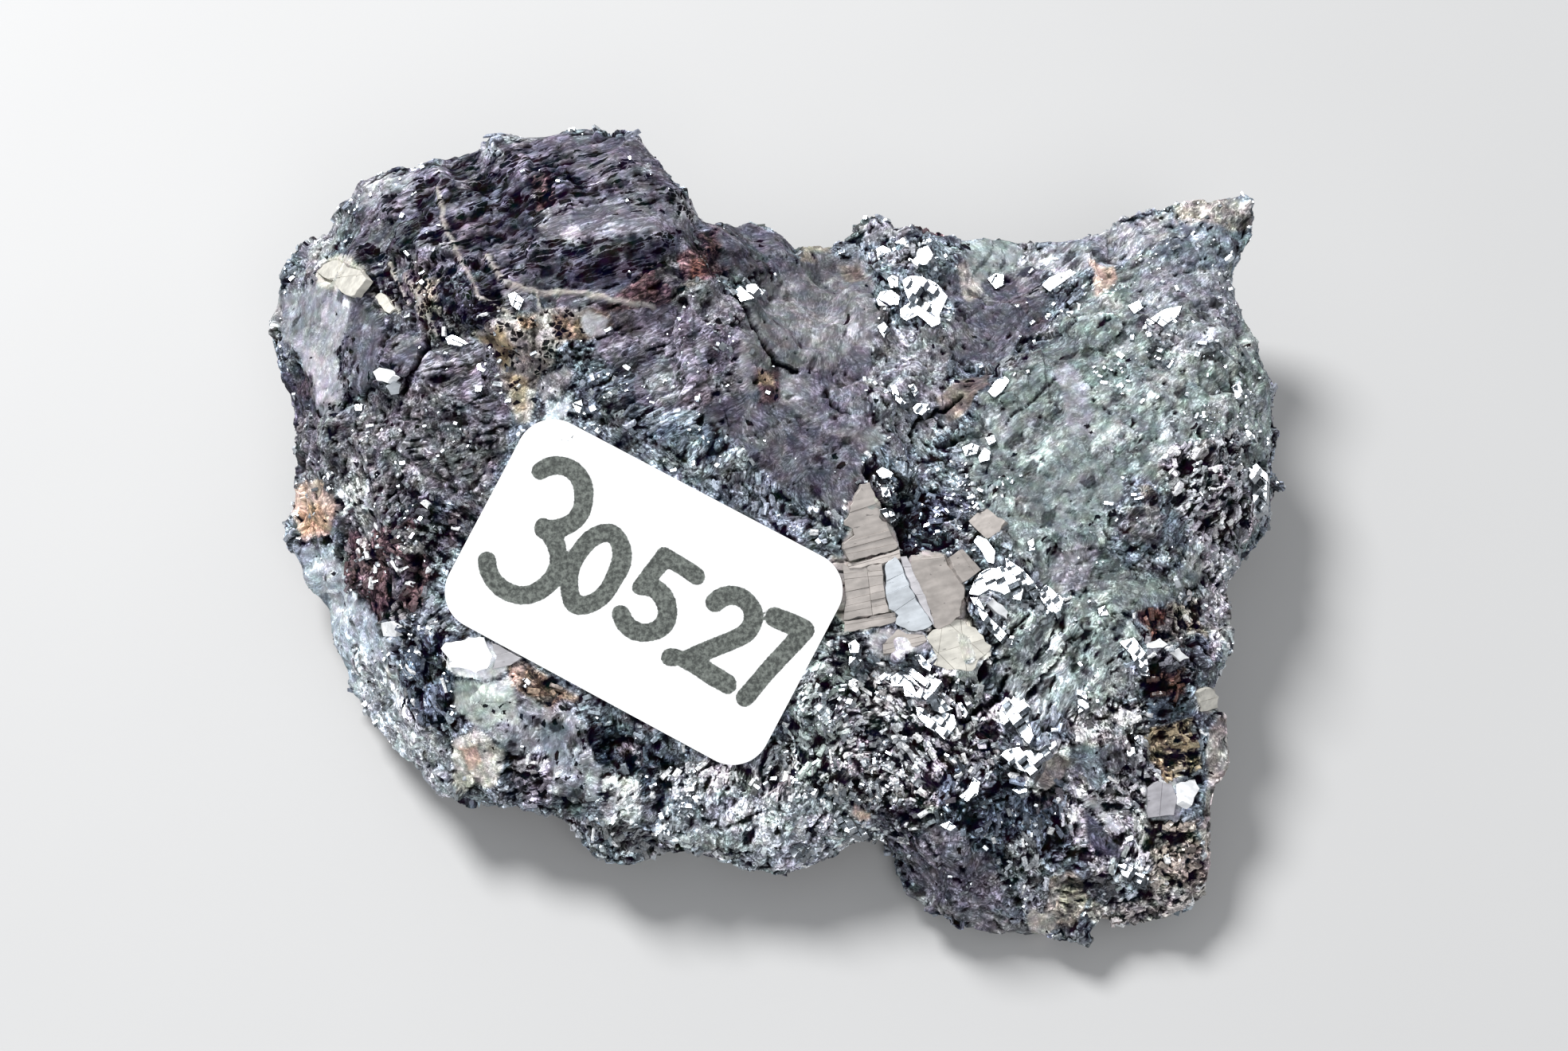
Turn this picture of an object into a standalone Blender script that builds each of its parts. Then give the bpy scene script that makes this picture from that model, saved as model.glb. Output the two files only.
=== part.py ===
"""A galena ore specimen with a paper collection label stuck to its upper face.

The stone is one broken lump about 57 mm across. Its upper side leans towards the front, its
back and its upper left are cliffs, and its underside is undercut all round and ends in one
flat broken face that it rests on. The frame has +Z up, -Y to the front, and its origin at the
middle of that footprint.

The upper surface is laid out from landmarks. Each is a point of the view that the specimen is
shown in, in pixels of that view, with the point's real height over the table in millimetres.
"""

import math
import random

import bmesh
import bpy
import numpy as np
from mathutils import Matrix, Vector, kdtree, noise
from mathutils.bvhtree import BVHTree
from mathutils.geometry import delaunay_2d_cdt

MM = 0.001

# The view that the landmarks are read in
VIEW_WIDTH, VIEW_HEIGHT = 1969, 1320
VIEW_ELEVATION = math.radians(62)
FOCAL_PIXELS = VIEW_WIDTH * 45 / 36
VIEW_DISTANCE = 102.9 * MM
VIEW_AIM = Vector((0.85, -1.5, 13.1)) * MM

VIEW_BACK = Vector((0, -math.cos(VIEW_ELEVATION), math.sin(VIEW_ELEVATION)))
VIEW_UP = Vector((0, math.sin(VIEW_ELEVATION), math.cos(VIEW_ELEVATION)))
VIEW_RIGHT = Vector((1, 0, 0))
EYE = VIEW_AIM + VIEW_BACK * VIEW_DISTANCE

# The label: a common 19 x 12 mm sticker
LABEL_LENGTH, LABEL_WIDTH, LABEL_CORNER = 19.0 * MM, 12.0 * MM, 2.0 * MM
LABEL_THICKNESS = 0.15 * MM
LABEL_MIDDLE = (805.5, 742, 12.0)  # view pixels, and mm over the table
LABEL_TURN = math.radians(-27.8)  # its long side against the view's horizontal
LABEL_RISE = math.radians(5.0)  # its right end stands nearer to the viewer
LABEL_GAP = 0.32 * MM
BED_SPARE = 0.8 * MM  # the bed's margin round the label
BED_SHARES = 0.54, 0.56  # half the bed's size along and across, as shares of the label's
BED_SUNK = 0.1 * MM  # how much deeper than the label's gap the bed's landmarks lie
PRESS_SPARE = 0.03 * MM  # how much deeper than the label's gap the stone is pressed
LABEL_CORNER_STEPS = 8

# The outline of the stone, clockwise from the top of the striated block: x, y, height in mm
RIM = [
    (601, 169, 17.0), (657, 177, 17.6), (739, 148, 18.4), (790, 154, 18.5), (825, 197, 18.2),
    (848, 222, 18.0), (860, 244, 17.8), (885, 252, 17.2), (907, 269, 13.6), (950, 270, 12.4),
    (986, 279, 11.8), (1004, 309, 11.0), (1059, 309, 10.6), (1087, 266, 11.6), (1132, 259, 11.4),
    (1144, 281, 11.0), (1208, 295, 10.2), (1283, 302, 9.8), (1298, 312, 9.4), (1357, 304, 9.6),
    (1387, 294, 10.0), (1397, 270, 10.8), (1457, 262, 10.8), (1527, 249, 11.2), (1556, 255, 11.0),
    (1571, 272, 10.6), (1547, 320, 10.8), (1551, 349, 11.0), (1566, 381, 10.8), (1590, 440, 9.6),
    (1602, 467, 9.0), (1606, 540, 7.6), (1601, 603, 6.4), (1589, 638, 6.0), (1600, 669, 5.2),
    (1580, 688, 5.2), (1553, 693, 7.6), (1547, 792, 7.6), (1532, 844, 7.4), (1530, 882, 6.8),
    (1544, 910, 5.8), (1547, 939, 5.4), (1532, 1004, 5.0), (1535, 1100, 3.2), (1513, 1141, 2.4),
    (1468, 1160, 2.0), (1421, 1174, 1.8), (1372, 1163, 1.6), (1301, 1155, 1.6), (1254, 1170, 1.8),
    (1173, 1156, 2.2), (1120, 1144, 2.4), (1119, 1117, 2.6), (1154, 1099, 3.0), (1143, 1085, 3.4),
    (1125, 1075, 3.8), (1127, 1057, 4.4), (1135, 1044, 4.8), (1108, 1055, 4.4), (1078, 1076, 4.0),
    (1040, 1091, 3.4), (994, 1099, 3.2), (970, 1103, 3.2), (914, 1085, 3.6), (840, 1068, 4.2),
    (775, 1077, 4.0), (741, 1072, 4.0), (719, 1046, 4.6), (680, 1012, 5.2), (654, 1005, 5.4),
    (624, 1012, 5.0), (598, 1003, 5.0), (550, 1005, 4.2), (528, 968, 3.8), (472, 925, 2.8),
    (435, 869, 2.6), (418, 804, 2.8), (385, 743, 3.6), (374, 682, 4.8), (366, 626, 6.0),
    (366, 586, 6.8), (375, 543, 7.6), (366, 509, 8.2), (346, 467, 8.8), (337, 399, 9.6),
    (346, 366, 10.2), (375, 319, 11.4), (417, 281, 12.8), (419, 236, 13.6), (476, 213, 14.8),
    (510, 206, 15.6), (549, 186, 16.4), (577, 173, 16.7),
]

# Ridges, hollows and facets inside the outline: x, y, height in mm
RELIEF = [
    # the striated block, upper left, nearly level
    (700, 210, 18.7), (620, 250, 18.0), (780, 250, 19.0), (840, 300, 18.4), (700, 310, 18.9),
    (560, 300, 17.8), (490, 280, 16.6), (600, 370, 18.6), (720, 372, 19.2), (880, 330, 17.4),
    (895, 390, 17.2), (500, 340, 17.2), (660, 395, 18.4), (760, 400, 18.5),
    # below the block, towards the label
    (800, 450, 17.4), (890, 470, 16.4), (600, 440, 17.0), (700, 470, 17.1), (560, 500, 15.9),
    # the pale facet at the left and what surrounds it
    (385, 360, 12.4), (430, 345, 14.2), (470, 380, 15.6), (380, 430, 12.0), (395, 500, 11.4),
    (445, 500, 13.6), (465, 440, 15.2), (500, 480, 15.4),
    # the left flank above the label's lower left, and the low grey wall below it
    (420, 560, 11.6), (500, 600, 13.6), (400, 610, 9.6), (410, 650, 8.4), (450, 700, 9.6),
    (520, 700, 12.4), (470, 780, 7.6), (520, 800, 9.6), (500, 870, 7.2), (560, 860, 9.0),
    (560, 940, 7.0), (460, 850, 4.6), (420, 720, 5.8),
    # the front of the left lobe, which steepens towards its edge
    (620, 900, 8.6), (680, 960, 7.8), (760, 990, 7.4), (760, 1040, 5.6), (860, 1030, 6.0),
    (940, 1040, 6.2), (1010, 1010, 7.6), (1060, 960, 8.4), (1000, 1060, 5.0), (1080, 1020, 6.6),
    (1020, 900, 8.9),
    # the cleaved patch beside the label
    (1090, 620, 14.2), (1060, 700, 13.0), (1120, 700, 13.1), (1180, 700, 12.9), (1230, 770, 11.6),
    (1240, 830, 10.4), (1180, 840, 10.2), (1080, 790, 11.2), (1060, 840, 10.0),
    # the middle, the hollow above the patch, and the cracked saddle behind it
    (1000, 560, 15.0), (930, 540, 15.6), (960, 440, 15.2), (960, 380, 13.6), (960, 320, 12.6),
    (1050, 470, 14.4), (1060, 380, 12.4), (1060, 340, 11.2), (1140, 380, 12.2), (1150, 320, 11.9),
    (1120, 520, 13.8), (1140, 600, 12.0), (1180, 650, 11.4), (1200, 520, 12.6), (1200, 440, 11.8),
    (1250, 380, 10.4), (1330, 340, 10.2), (1240, 600, 13.2), (1240, 660, 13.0),
    # the green right half, a broad swell that falls away behind
    (1280, 500, 13.6), (1350, 430, 13.0), (1320, 560, 13.9), (1400, 520, 13.8), (1450, 400, 13.0),
    (1450, 320, 11.8), (1520, 290, 11.6), (1530, 400, 12.4), (1540, 480, 12.2), (1535, 560, 11.8),
    (1530, 640, 11.0), (1420, 620, 13.2), (1320, 680, 12.8), (1440, 720, 11.6), (1520, 720, 9.8),
    (1575, 500, 9.8), (1575, 600, 7.8), (1560, 660, 7.0),
    # the lower right lobe
    (1310, 780, 11.4), (1400, 800, 10.9), (1480, 800, 10.0), (1520, 850, 8.2), (1290, 860, 9.9),
    (1380, 900, 9.2), (1470, 900, 8.2), (1200, 920, 8.9), (1290, 960, 8.2), (1400, 1000, 7.0),
    (1490, 990, 6.4), (1180, 1000, 7.4), (1170, 1070, 4.8), (1250, 1060, 6.2), (1330, 1080, 5.4),
    (1420, 1090, 5.0), (1490, 1080, 4.4), (1220, 1130, 3.4), (1300, 1145, 3.2), (1400, 1145, 3.0),
]

SAME_PIXEL = 1e-6  # landmarks nearer than this are one

# How far the resting face is drawn in from the rim, as a share of its distance to the middle
DRAWN_IN_FRONT, DRAWN_IN_BACK, DRAWN_IN_SIDES = 0.38, 0.09, 0.22
WALL_STEPS = ((0.45, 0.16), (0.15, 0.62))  # share of the rim's height, share drawn in

# The broken surface
FINE_VOXEL, CLEAN_VOXEL = 0.42 * MM, 0.36 * MM
BROAD_FACET, BROAD_TILT, BROAD_STEP = 4.6 * MM, 0.20, 0.25 * MM
SMALL_FACET, SMALL_TILT, SMALL_STEP = 1.7 * MM, 0.32, 0.13 * MM
RIPPLE_SIZE, RIPPLE_DEPTH = 9.0 * MM, 0.45 * MM
RIPPLE_ROUGHNESS, RIPPLE_FINER, RIPPLE_OCTAVES = 0.9, 2.1, 4
OUTLINE_SHARE = 0.35  # the share of that relief which is left at the outline
OUTLINE_GAIN = 1.5  # how fast it grows as the surface turns to the view
STRIA_SPACING, STRIA_DEPTH = 1.15 * MM, 0.16 * MM
STRIA_PIXELS = (560, 330, 860, 245)  # two points along one line of the striated block
STRIA_MIDDLE = (700, 300, 18.8)
STRIA_REACH = 11.0 * MM
STRIA_WANDER, STRIA_WANDER_LONG, STRIA_WANDER_WIDE = 0.9, 6 * MM, 1 * MM
STRIA_FADE = 3.0  # the ledges are whole up to a third of the reach from its end
STRIA_CALM = 0.7  # how much of the small facets goes on the striated block
FLAT_PATCH = (1150, 740, 12.2)  # the middle of the cleaved patch, which stays smooth
FLAT_REACH = 4.6 * MM  # it is flat up to half of this, and broken from there on
TRIANGLES_WANTED = 6600
LEVELLED = 0.06 * MM
BASE_DEPTH = 0.7 * MM  # how much lies under the table's level before the base is cut off

# Sprays of galena cleavage blocks that stand out of the stone:
# x, y in view pixels, reach in mm, how many, edge in mm
SPRAYS = [
    (1150, 375, 2.3, 13, 1.3), (1120, 298, 1.6, 6, 1.0), (1250, 745, 2.9, 14, 1.1),
    (1290, 930, 2.1, 9, 1.2), (1175, 870, 3.3, 13, 1.1), (600, 832, 1.5, 4, 1.6),
    (1578, 590, 1.6, 5, 1.0), (488, 482, 0.9, 3, 0.9), (1130, 480, 1.6, 5, 1.0),
    (420, 730, 2.0, 6, 1.0), (1250, 490, 1.2, 3, 1.2), (940, 368, 0.6, 2, 1.1),
    (1440, 1120, 2.2, 7, 0.9), (860, 1050, 2.4, 7, 0.9), (1060, 900, 1.8, 6, 0.9),
    (500, 905, 2.0, 6, 0.9),
]
BLOCK_SUNK = 0.62  # share of a block's edge that lies under the surface
BLOCK_UPRIGHT, BLOCK_TILT = Vector((0.3, 0.5, 1)), 0.5  # the axis blocks turn on, and radians off it
BLOCK_SIZES = 0.7, 1.35  # least and most, as shares of the spray's edge
LOWEST_BLOCK = 1.8 * MM
SEED = 14

CENTRED = Vector((-0.32, -0.55, 0)) * MM  # brings the middle of the whole to the origin

# Colour, roughness and metallic of the two materials
ORE_LOOK = (0.20, 0.21, 0.23), 0.35, 0.6
PAPER_LOOK = (0.86, 0.87, 0.86), 0.6, 0.0


def clear_scene():
    for thing in list(bpy.data.objects):
        bpy.data.objects.remove(thing, do_unlink=True)


def ray_through(x, y):
    """The direction from the eye through a pixel of the view, one unit deep."""
    across = (x - VIEW_WIDTH / 2) / FOCAL_PIXELS
    upward = (VIEW_HEIGHT / 2 - y) / FOCAL_PIXELS
    return VIEW_RIGHT * across + VIEW_UP * upward - VIEW_BACK


def placed(x, y, height_mm):
    """The point at that height over the table which the view shows at pixel x, y."""
    ray = ray_through(x, y)
    return EYE + ray * ((height_mm * MM - EYE.z) / ray.z)


def pixel_of(point):
    """Where the view shows a point."""
    toward = point - EYE
    depth = -toward.dot(VIEW_BACK)
    return Vector((
        VIEW_WIDTH / 2 + toward.dot(VIEW_RIGHT) / depth * FOCAL_PIXELS,
        VIEW_HEIGHT / 2 - toward.dot(VIEW_UP) / depth * FOCAL_PIXELS,
    ))


def label_axes():
    """The label's middle and its three directions: along it, across it, and out of it."""
    along = VIEW_RIGHT * math.cos(LABEL_TURN) + VIEW_UP * math.sin(LABEL_TURN)
    along = (along * math.cos(LABEL_RISE) + VIEW_BACK * math.sin(LABEL_RISE)).normalized()
    across = VIEW_BACK.cross(along).normalized()
    return placed(*LABEL_MIDDLE), along, across, along.cross(across)


def label_bed():
    """Points of the flat place on the stone that the label is stuck to."""
    middle, along, across, out = label_axes()
    seat = middle - out * (LABEL_GAP + BED_SUNK)
    half_length, half_width = LABEL_LENGTH * BED_SHARES[0], LABEL_WIDTH * BED_SHARES[1]
    return [
        seat + along * half_length * i + across * half_width * j
        for i in (-1, 0, 1)
        for j in (-1, 0, 1)
    ]


def drawn_in(direction):
    """How far the base is drawn in at a bearing from the middle, as a share."""
    front = max(0.0, -direction.y) * DRAWN_IN_FRONT
    back = max(0.0, direction.y) * DRAWN_IN_BACK
    return front + back + abs(direction.x) * DRAWN_IN_SIDES


def rough_form():
    """The stone before its surface breaks up: the landmarks' sheet, the walls and the base."""
    rim = [placed(*mark) for mark in RIM]
    bed = label_bed()
    inside = [placed(*mark) for mark in RELIEF if not near_label(Vector(mark[:2]))] + bed
    points = rim + inside
    flat = [pixel_of(point) for point in points]
    ring = [(i, (i + 1) % len(rim)) for i in range(len(rim))]
    _, _, faces, origins, _, _ = delaunay_2d_cdt(flat, ring, [], 1, SAME_PIXEL)
    mesh = bmesh.new()
    vertices = [mesh.verts.new(points[origin[0]]) for origin in origins]
    for face in faces:
        mesh.faces.new([vertices[i] for i in face])
    upper = [vertices[next(k for k, o in enumerate(origins) if o[0] == i)] for i in range(len(rim))]
    middle = sum(rim, Vector()) / len(rim)
    for share_of_height, share_drawn in (*WALL_STEPS, (0.0, 1.0)):
        lower = []
        for point in rim:
            outward = Vector((point.x - middle.x, point.y - middle.y, 0))
            inset = drawn_in(outward.normalized()) * share_drawn
            spot = Vector((middle.x, middle.y, 0)) + outward * (1 - inset)
            depth = point.z * share_of_height - BASE_DEPTH * (1 - share_of_height)
            lower.append(mesh.verts.new((spot.x, spot.y, depth)))
        for (i, j) in ring:
            mesh.faces.new((upper[i], lower[i], lower[j], upper[j]))
        upper = lower
    mesh.faces.new(upper)
    bmesh.ops.recalc_face_normals(mesh, faces=mesh.faces)
    return mesh


def near_label(pixel, spare=1.0 * MM):
    """Whether a pixel of the view lies on the label or less than that much beside it."""
    middle = Vector(LABEL_MIDDLE[:2])
    turned = Matrix.Rotation(-LABEL_TURN, 2) @ (pixel - middle)
    pixels_per_m = FOCAL_PIXELS / VIEW_DISTANCE
    return (
        abs(turned.x) < (LABEL_LENGTH / 2 + spare) * pixels_per_m
        and abs(turned.y) < (LABEL_WIDTH / 2 + spare) * pixels_per_m
    )


def evaluated(data, kind, **settings):
    """A mesh as one modifier leaves it."""
    thing = bpy.data.objects.new("net", data)
    bpy.context.collection.objects.link(thing)
    modifier = thing.modifiers.new("net", kind)
    for name, value in settings.items():
        setattr(modifier, name, value)
    graph = bpy.context.evaluated_depsgraph_get()
    net = bpy.data.meshes.new_from_object(thing.evaluated_get(graph))
    bpy.data.objects.remove(thing)
    return net


def from_bmesh(name, mesh):
    data = bpy.data.meshes.new(name)
    mesh.to_mesh(data)
    mesh.free()
    return data


class Facets:
    """Space split into cells, each with a plane of its own tilt and level."""

    def __init__(self, spacing, tilt, step, seed, low, high):
        draw = random.Random(seed)
        volume = math.prod(b - a for a, b in zip(low, high))
        count = int(volume / spacing**3)
        self.tree = kdtree.KDTree(count)
        self.spots, self.tilts, self.levels = [], [], []
        for i in range(count):
            spot = Vector(draw.uniform(a, b) for a, b in zip(low, high))
            self.spots.append(spot)
            self.tilts.append(Vector(draw.uniform(-tilt, tilt) for _ in range(3)))
            self.levels.append(draw.uniform(-step, step))
            self.tree.insert(spot, i)
        self.tree.balance()

    def height(self, point):
        _, i, _ = self.tree.find(point)
        return self.levels[i] + self.tilts[i].dot(point - self.spots[i])


def ripple(point):
    return noise.fractal(point / RIPPLE_SIZE, RIPPLE_ROUGHNESS, RIPPLE_FINER, RIPPLE_OCTAVES)


def stria_height(point, along, across, middle):
    """The ledges that run along the striated block, fading out towards its ends."""
    offset = point - middle
    nearness = 1 - offset.length / STRIA_REACH
    if nearness <= 0:
        return 0.0
    far, beside = offset.dot(along), offset.dot(across)
    wander = noise.noise(Vector((far / STRIA_WANDER_LONG, beside / STRIA_WANDER_WIDE, 0)))
    place = beside / STRIA_SPACING + STRIA_WANDER * wander
    ledge = place - math.floor(place)
    return STRIA_DEPTH * (ledge - 0.5) * min(1.0, STRIA_FADE * nearness)


def off_bed(point):
    """0 under the label, rising to 1 beyond the bed's margin."""
    middle, along, across, _ = label_axes()
    offset = point - middle
    beside = abs(offset.dot(along)) - LABEL_LENGTH / 2
    above = abs(offset.dot(across)) - LABEL_WIDTH / 2
    return min(1.0, max(0.0, max(beside, above) / BED_SPARE))


def outline_hold(normal):
    """Less than 1 where the surface turns edge-on to the view, which keeps the outline."""
    return min(1.0, OUTLINE_SHARE + abs(normal.dot(VIEW_BACK)) * OUTLINE_GAIN)


def break_up(net):
    """Moves the net's points so that the smooth form becomes a broken, faceted surface."""
    corners = np.array([v.co for v in net.vertices])
    low, high = corners.min(0) - MM, corners.max(0) + MM
    broad = Facets(BROAD_FACET, BROAD_TILT, BROAD_STEP, SEED, low, high)
    small = Facets(SMALL_FACET, SMALL_TILT, SMALL_STEP, SEED + 1, low, high)
    stria_middle = placed(*STRIA_MIDDLE)
    x0, y0, x1, y1 = STRIA_PIXELS
    stria_along = (placed(x1, y1, STRIA_MIDDLE[2]) - placed(x0, y0, STRIA_MIDDLE[2])).normalized()
    stria_across = Vector((0, 0, 1)).cross(stria_along)
    flat_middle = placed(*FLAT_PATCH)
    moves = []
    for vertex in net.vertices:
        point, normal = vertex.co, vertex.normal
        on_stria = max(0.0, 1 - (point - stria_middle).length / STRIA_REACH)
        off_flat = min(1.0, max(0.0, (point - flat_middle).length / FLAT_REACH - 0.5) * 2)
        height = broad.height(point) + RIPPLE_DEPTH * ripple(point)
        height += small.height(point) * (1 - STRIA_CALM * min(1.0, 2 * on_stria))
        height *= off_flat * off_bed(point) * outline_hold(normal)
        height += stria_height(point, stria_along, stria_across, stria_middle)
        moves.append(point + normal * height)
    for vertex, moved in zip(net.vertices, moves):
        vertex.co = moved
    net.update()


def press_bed(net):
    """Presses the stone under the label flat, so that the label clears it."""
    middle, along, across, out = label_axes()
    for vertex in net.vertices:
        offset = vertex.co - middle
        under = (
            abs(offset.dot(along)) < LABEL_LENGTH / 2 + BED_SPARE
            and abs(offset.dot(across)) < LABEL_WIDTH / 2 + BED_SPARE
        )
        rise = offset.dot(out) + LABEL_GAP + PRESS_SPARE
        if under and rise > 0 and vertex.normal.dot(out) > 0:
            vertex.co -= out * rise
    net.update()


def cleavage_blocks(net):
    """The blocks of galena that stand out of the stone, all in one mesh."""
    draw = random.Random(SEED)
    tree = BVHTree.FromPolygons([v.co for v in net.vertices], [p.vertices for p in net.polygons])
    mesh = bmesh.new()
    for x, y, reach, count, edge in SPRAYS:
        turn = Matrix.Rotation(draw.uniform(0, math.pi), 3, BLOCK_UPRIGHT)
        lattice = turn @ Matrix.Rotation(draw.uniform(-BLOCK_TILT, BLOCK_TILT), 3, "X")
        pixels = reach * MM * FOCAL_PIXELS / VIEW_DISTANCE
        for _ in range(count):
            bearing, far = draw.uniform(0, math.tau), math.sqrt(draw.random())
            spot = Vector((x, y)) + Vector((math.cos(bearing), math.sin(bearing))) * far * pixels
            hit, normal, _, _ = tree.ray_cast(EYE, ray_through(*spot).normalized())
            if hit is None or hit.z < LOWEST_BLOCK or near_label(spot, edge * MM):
                continue
            sizes = [edge * MM * draw.uniform(*BLOCK_SIZES) for _ in range(3)]
            centre = hit - normal * min(sizes) * (BLOCK_SUNK - 0.5)
            place = Matrix.Translation(centre) @ lattice.to_4x4() @ Matrix.Diagonal((*sizes, 1))
            bmesh.ops.create_cube(mesh, size=1.0, matrix=place)
    return mesh


def material(name, colour, roughness, metallic):
    made = bpy.data.materials.new(name)
    made.use_nodes = True
    shader = made.node_tree.nodes["Principled BSDF"]
    shader.inputs["Base Color"].default_value = (*colour, 1)
    shader.inputs["Roughness"].default_value = roughness
    shader.inputs["Metallic"].default_value = metallic
    return made


def base_cut_off(data):
    """Cuts the stone's underside off flat at the table."""
    mesh = bmesh.new()
    mesh.from_mesh(data)
    cut = bmesh.ops.bisect_plane(
        mesh,
        geom=mesh.verts[:] + mesh.edges[:] + mesh.faces[:],
        plane_co=(0, 0, 0),
        plane_no=(0, 0, 1),
        clear_inner=True,
    )
    edges = [piece for piece in cut["geom_cut"] if isinstance(piece, bmesh.types.BMEdge)]
    bmesh.ops.triangle_fill(mesh, edges=edges, use_beauty=True)
    bmesh.ops.recalc_face_normals(mesh, faces=mesh.faces)
    return from_bmesh("net", mesh)


def settle(net):
    """Levels the points that thinning left a hair off the resting face."""
    for vertex in net.vertices:
        if vertex.co.z < LEVELLED:
            vertex.co.z = 0.0
    net.update()


def stone_net():
    """The stone without its blocks: a broken surface in a few thousand triangles."""
    net = evaluated(from_bmesh("net", rough_form()), "REMESH", mode="VOXEL", voxel_size=FINE_VOXEL)
    break_up(net)
    net = evaluated(net, "REMESH", mode="VOXEL", voxel_size=CLEAN_VOXEL)
    net = base_cut_off(net)
    press_bed(net)
    share = TRIANGLES_WANTED / sum(len(face.vertices) - 2 for face in net.polygons)
    net = evaluated(net, "DECIMATE", ratio=share, use_collapse_triangulate=True)
    settle(net)
    return net


def make_ore():
    net = stone_net()
    blocks = bpy.data.objects.new("galena_blocks", from_bmesh("blocks", cleavage_blocks(net)))
    bpy.context.collection.objects.link(blocks)
    blocks.hide_render = True
    blocks.display_type = "WIRE"
    net.name = "galena_ore"
    ore = bpy.data.objects.new("galena_ore", net)
    bpy.context.collection.objects.link(ore)
    ore.data.materials.append(material("ore", *ORE_LOOK))
    joined = ore.modifiers.new("Galena blocks", "BOOLEAN")
    joined.operation = "UNION"
    joined.use_self = True
    joined.object = blocks
    return ore


def make_label():
    """A thin plate with round corners, flat on its bed."""
    middle, along, across, out = label_axes()
    mesh = bmesh.new()
    corners = []
    for quarter in range(4):
        side_x = 1 if quarter in (0, 3) else -1
        side_y = 1 if quarter in (0, 1) else -1
        hub_x = side_x * (LABEL_LENGTH / 2 - LABEL_CORNER)
        hub_y = side_y * (LABEL_WIDTH / 2 - LABEL_CORNER)
        for step in range(LABEL_CORNER_STEPS + 1):
            angle = (quarter + step / LABEL_CORNER_STEPS) * math.pi / 2
            x = hub_x + LABEL_CORNER * math.cos(angle)
            y = hub_y + LABEL_CORNER * math.sin(angle)
            corners.append(mesh.verts.new(middle + along * x + across * y))
    face = mesh.faces.new(corners)
    lifted = bmesh.ops.extrude_face_region(mesh, geom=[face])["geom"]
    raised = [piece for piece in lifted if isinstance(piece, bmesh.types.BMVert)]
    bmesh.ops.translate(mesh, verts=raised, vec=out * LABEL_THICKNESS)
    bmesh.ops.recalc_face_normals(mesh, faces=mesh.faces)
    label = bpy.data.objects.new("paper_label", from_bmesh("paper_label", mesh))
    bpy.context.collection.objects.link(label)
    label.data.materials.append(material("label_paper", *PAPER_LOOK))
    return label


def main():
    clear_scene()
    make_ore()
    make_label()
    for thing in bpy.data.objects:
        thing.data.transform(Matrix.Translation(CENTRED))


main()
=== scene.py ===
"""The looks of a galena ore specimen with a paper collection label.

The stone's broken surface is made here in three layers, from large to small: a skin drawn over
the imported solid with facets, ledges, plates and cracks; loose-grained crystals that stand out
of the skin; and procedural materials. What lies where is read from regions, each an outline in
pixels of the view that the specimen is shown in. The sides that this view doesn't show take
their minerals from noise in space.
"""

import math
from types import SimpleNamespace

import bmesh
import bpy
import numpy as np
from mathutils import Euler, Matrix, Vector
from mathutils.bvhtree import BVHTree


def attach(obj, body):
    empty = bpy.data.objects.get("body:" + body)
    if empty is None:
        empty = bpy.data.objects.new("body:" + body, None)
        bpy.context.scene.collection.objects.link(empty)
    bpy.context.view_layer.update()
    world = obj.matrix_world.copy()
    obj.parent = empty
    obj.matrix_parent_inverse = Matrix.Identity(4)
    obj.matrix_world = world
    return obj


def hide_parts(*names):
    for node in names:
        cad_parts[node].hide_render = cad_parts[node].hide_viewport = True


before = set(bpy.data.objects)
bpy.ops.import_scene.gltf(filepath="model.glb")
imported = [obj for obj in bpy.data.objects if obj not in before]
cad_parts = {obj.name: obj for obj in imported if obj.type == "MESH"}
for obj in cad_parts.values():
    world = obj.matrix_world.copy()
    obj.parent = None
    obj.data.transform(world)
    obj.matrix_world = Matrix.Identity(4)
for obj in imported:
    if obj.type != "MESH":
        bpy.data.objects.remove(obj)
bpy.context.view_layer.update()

MM = 0.001

# The view that the regions are read in
VIEW_WIDTH, VIEW_HEIGHT = 1969, 1320
VIEW_ELEVATION = math.radians(62)
LENS, SENSOR = 45, 36
FOCAL_PIXELS = VIEW_WIDTH * LENS / SENSOR
VIEW_DISTANCE = 102.9 * MM
VIEW_AIM = np.array((0.53, -2.05, 13.1)) * MM
BACK = np.array((0, -math.cos(VIEW_ELEVATION), math.sin(VIEW_ELEVATION)))
UP = np.array((0, math.sin(VIEW_ELEVATION), math.cos(VIEW_ELEVATION)))
RIGHT = np.array((1.0, 0, 0))
EYE = VIEW_AIM + BACK * VIEW_DISTANCE
PIXELS_PER_M = FOCAL_PIXELS / VIEW_DISTANCE

# The light, from behind on the left, and a large weak one from the front
TO_LIGHT = np.array((-0.50, 0.60, 1.0))
LIGHT_DISTANCE, LIGHT_SIZE, LIGHT_POWER = 450 * MM, 150 * MM, 2.5
TO_FILL = np.array((0.25, -0.80, 1.0))
FILL_DISTANCE, FILL_SIZE, FILL_POWER = 500 * MM, 320 * MM, 0.8
SKY_COLOUR, SKY_STRENGTH = (0.93, 0.96, 1.0, 1), 0.38
FLOOR_GREY, FLOOR_GRAIN, FLOOR_HALF, FLOOR_DROP = 0.50, 1 / 30, 0.8, 0.02 * MM

# The skin
SKIN_VOXEL = 0.137 * MM
RELAX_ROUNDS, RELAX_SHARE = 26, 0.5
SKIN_PIECES = 5
SKIN_SHARP = math.radians(40)
CAVITY_ROUNDS, CAVITY_SHARE, CAVITY_DEPTH = 14, 0.6, 0.13 * MM  # how wide hollows are found, for the painted shade in them
BLACKEST = 0.99  # how much of the colour the painted shade in a hollow takes away
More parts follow.
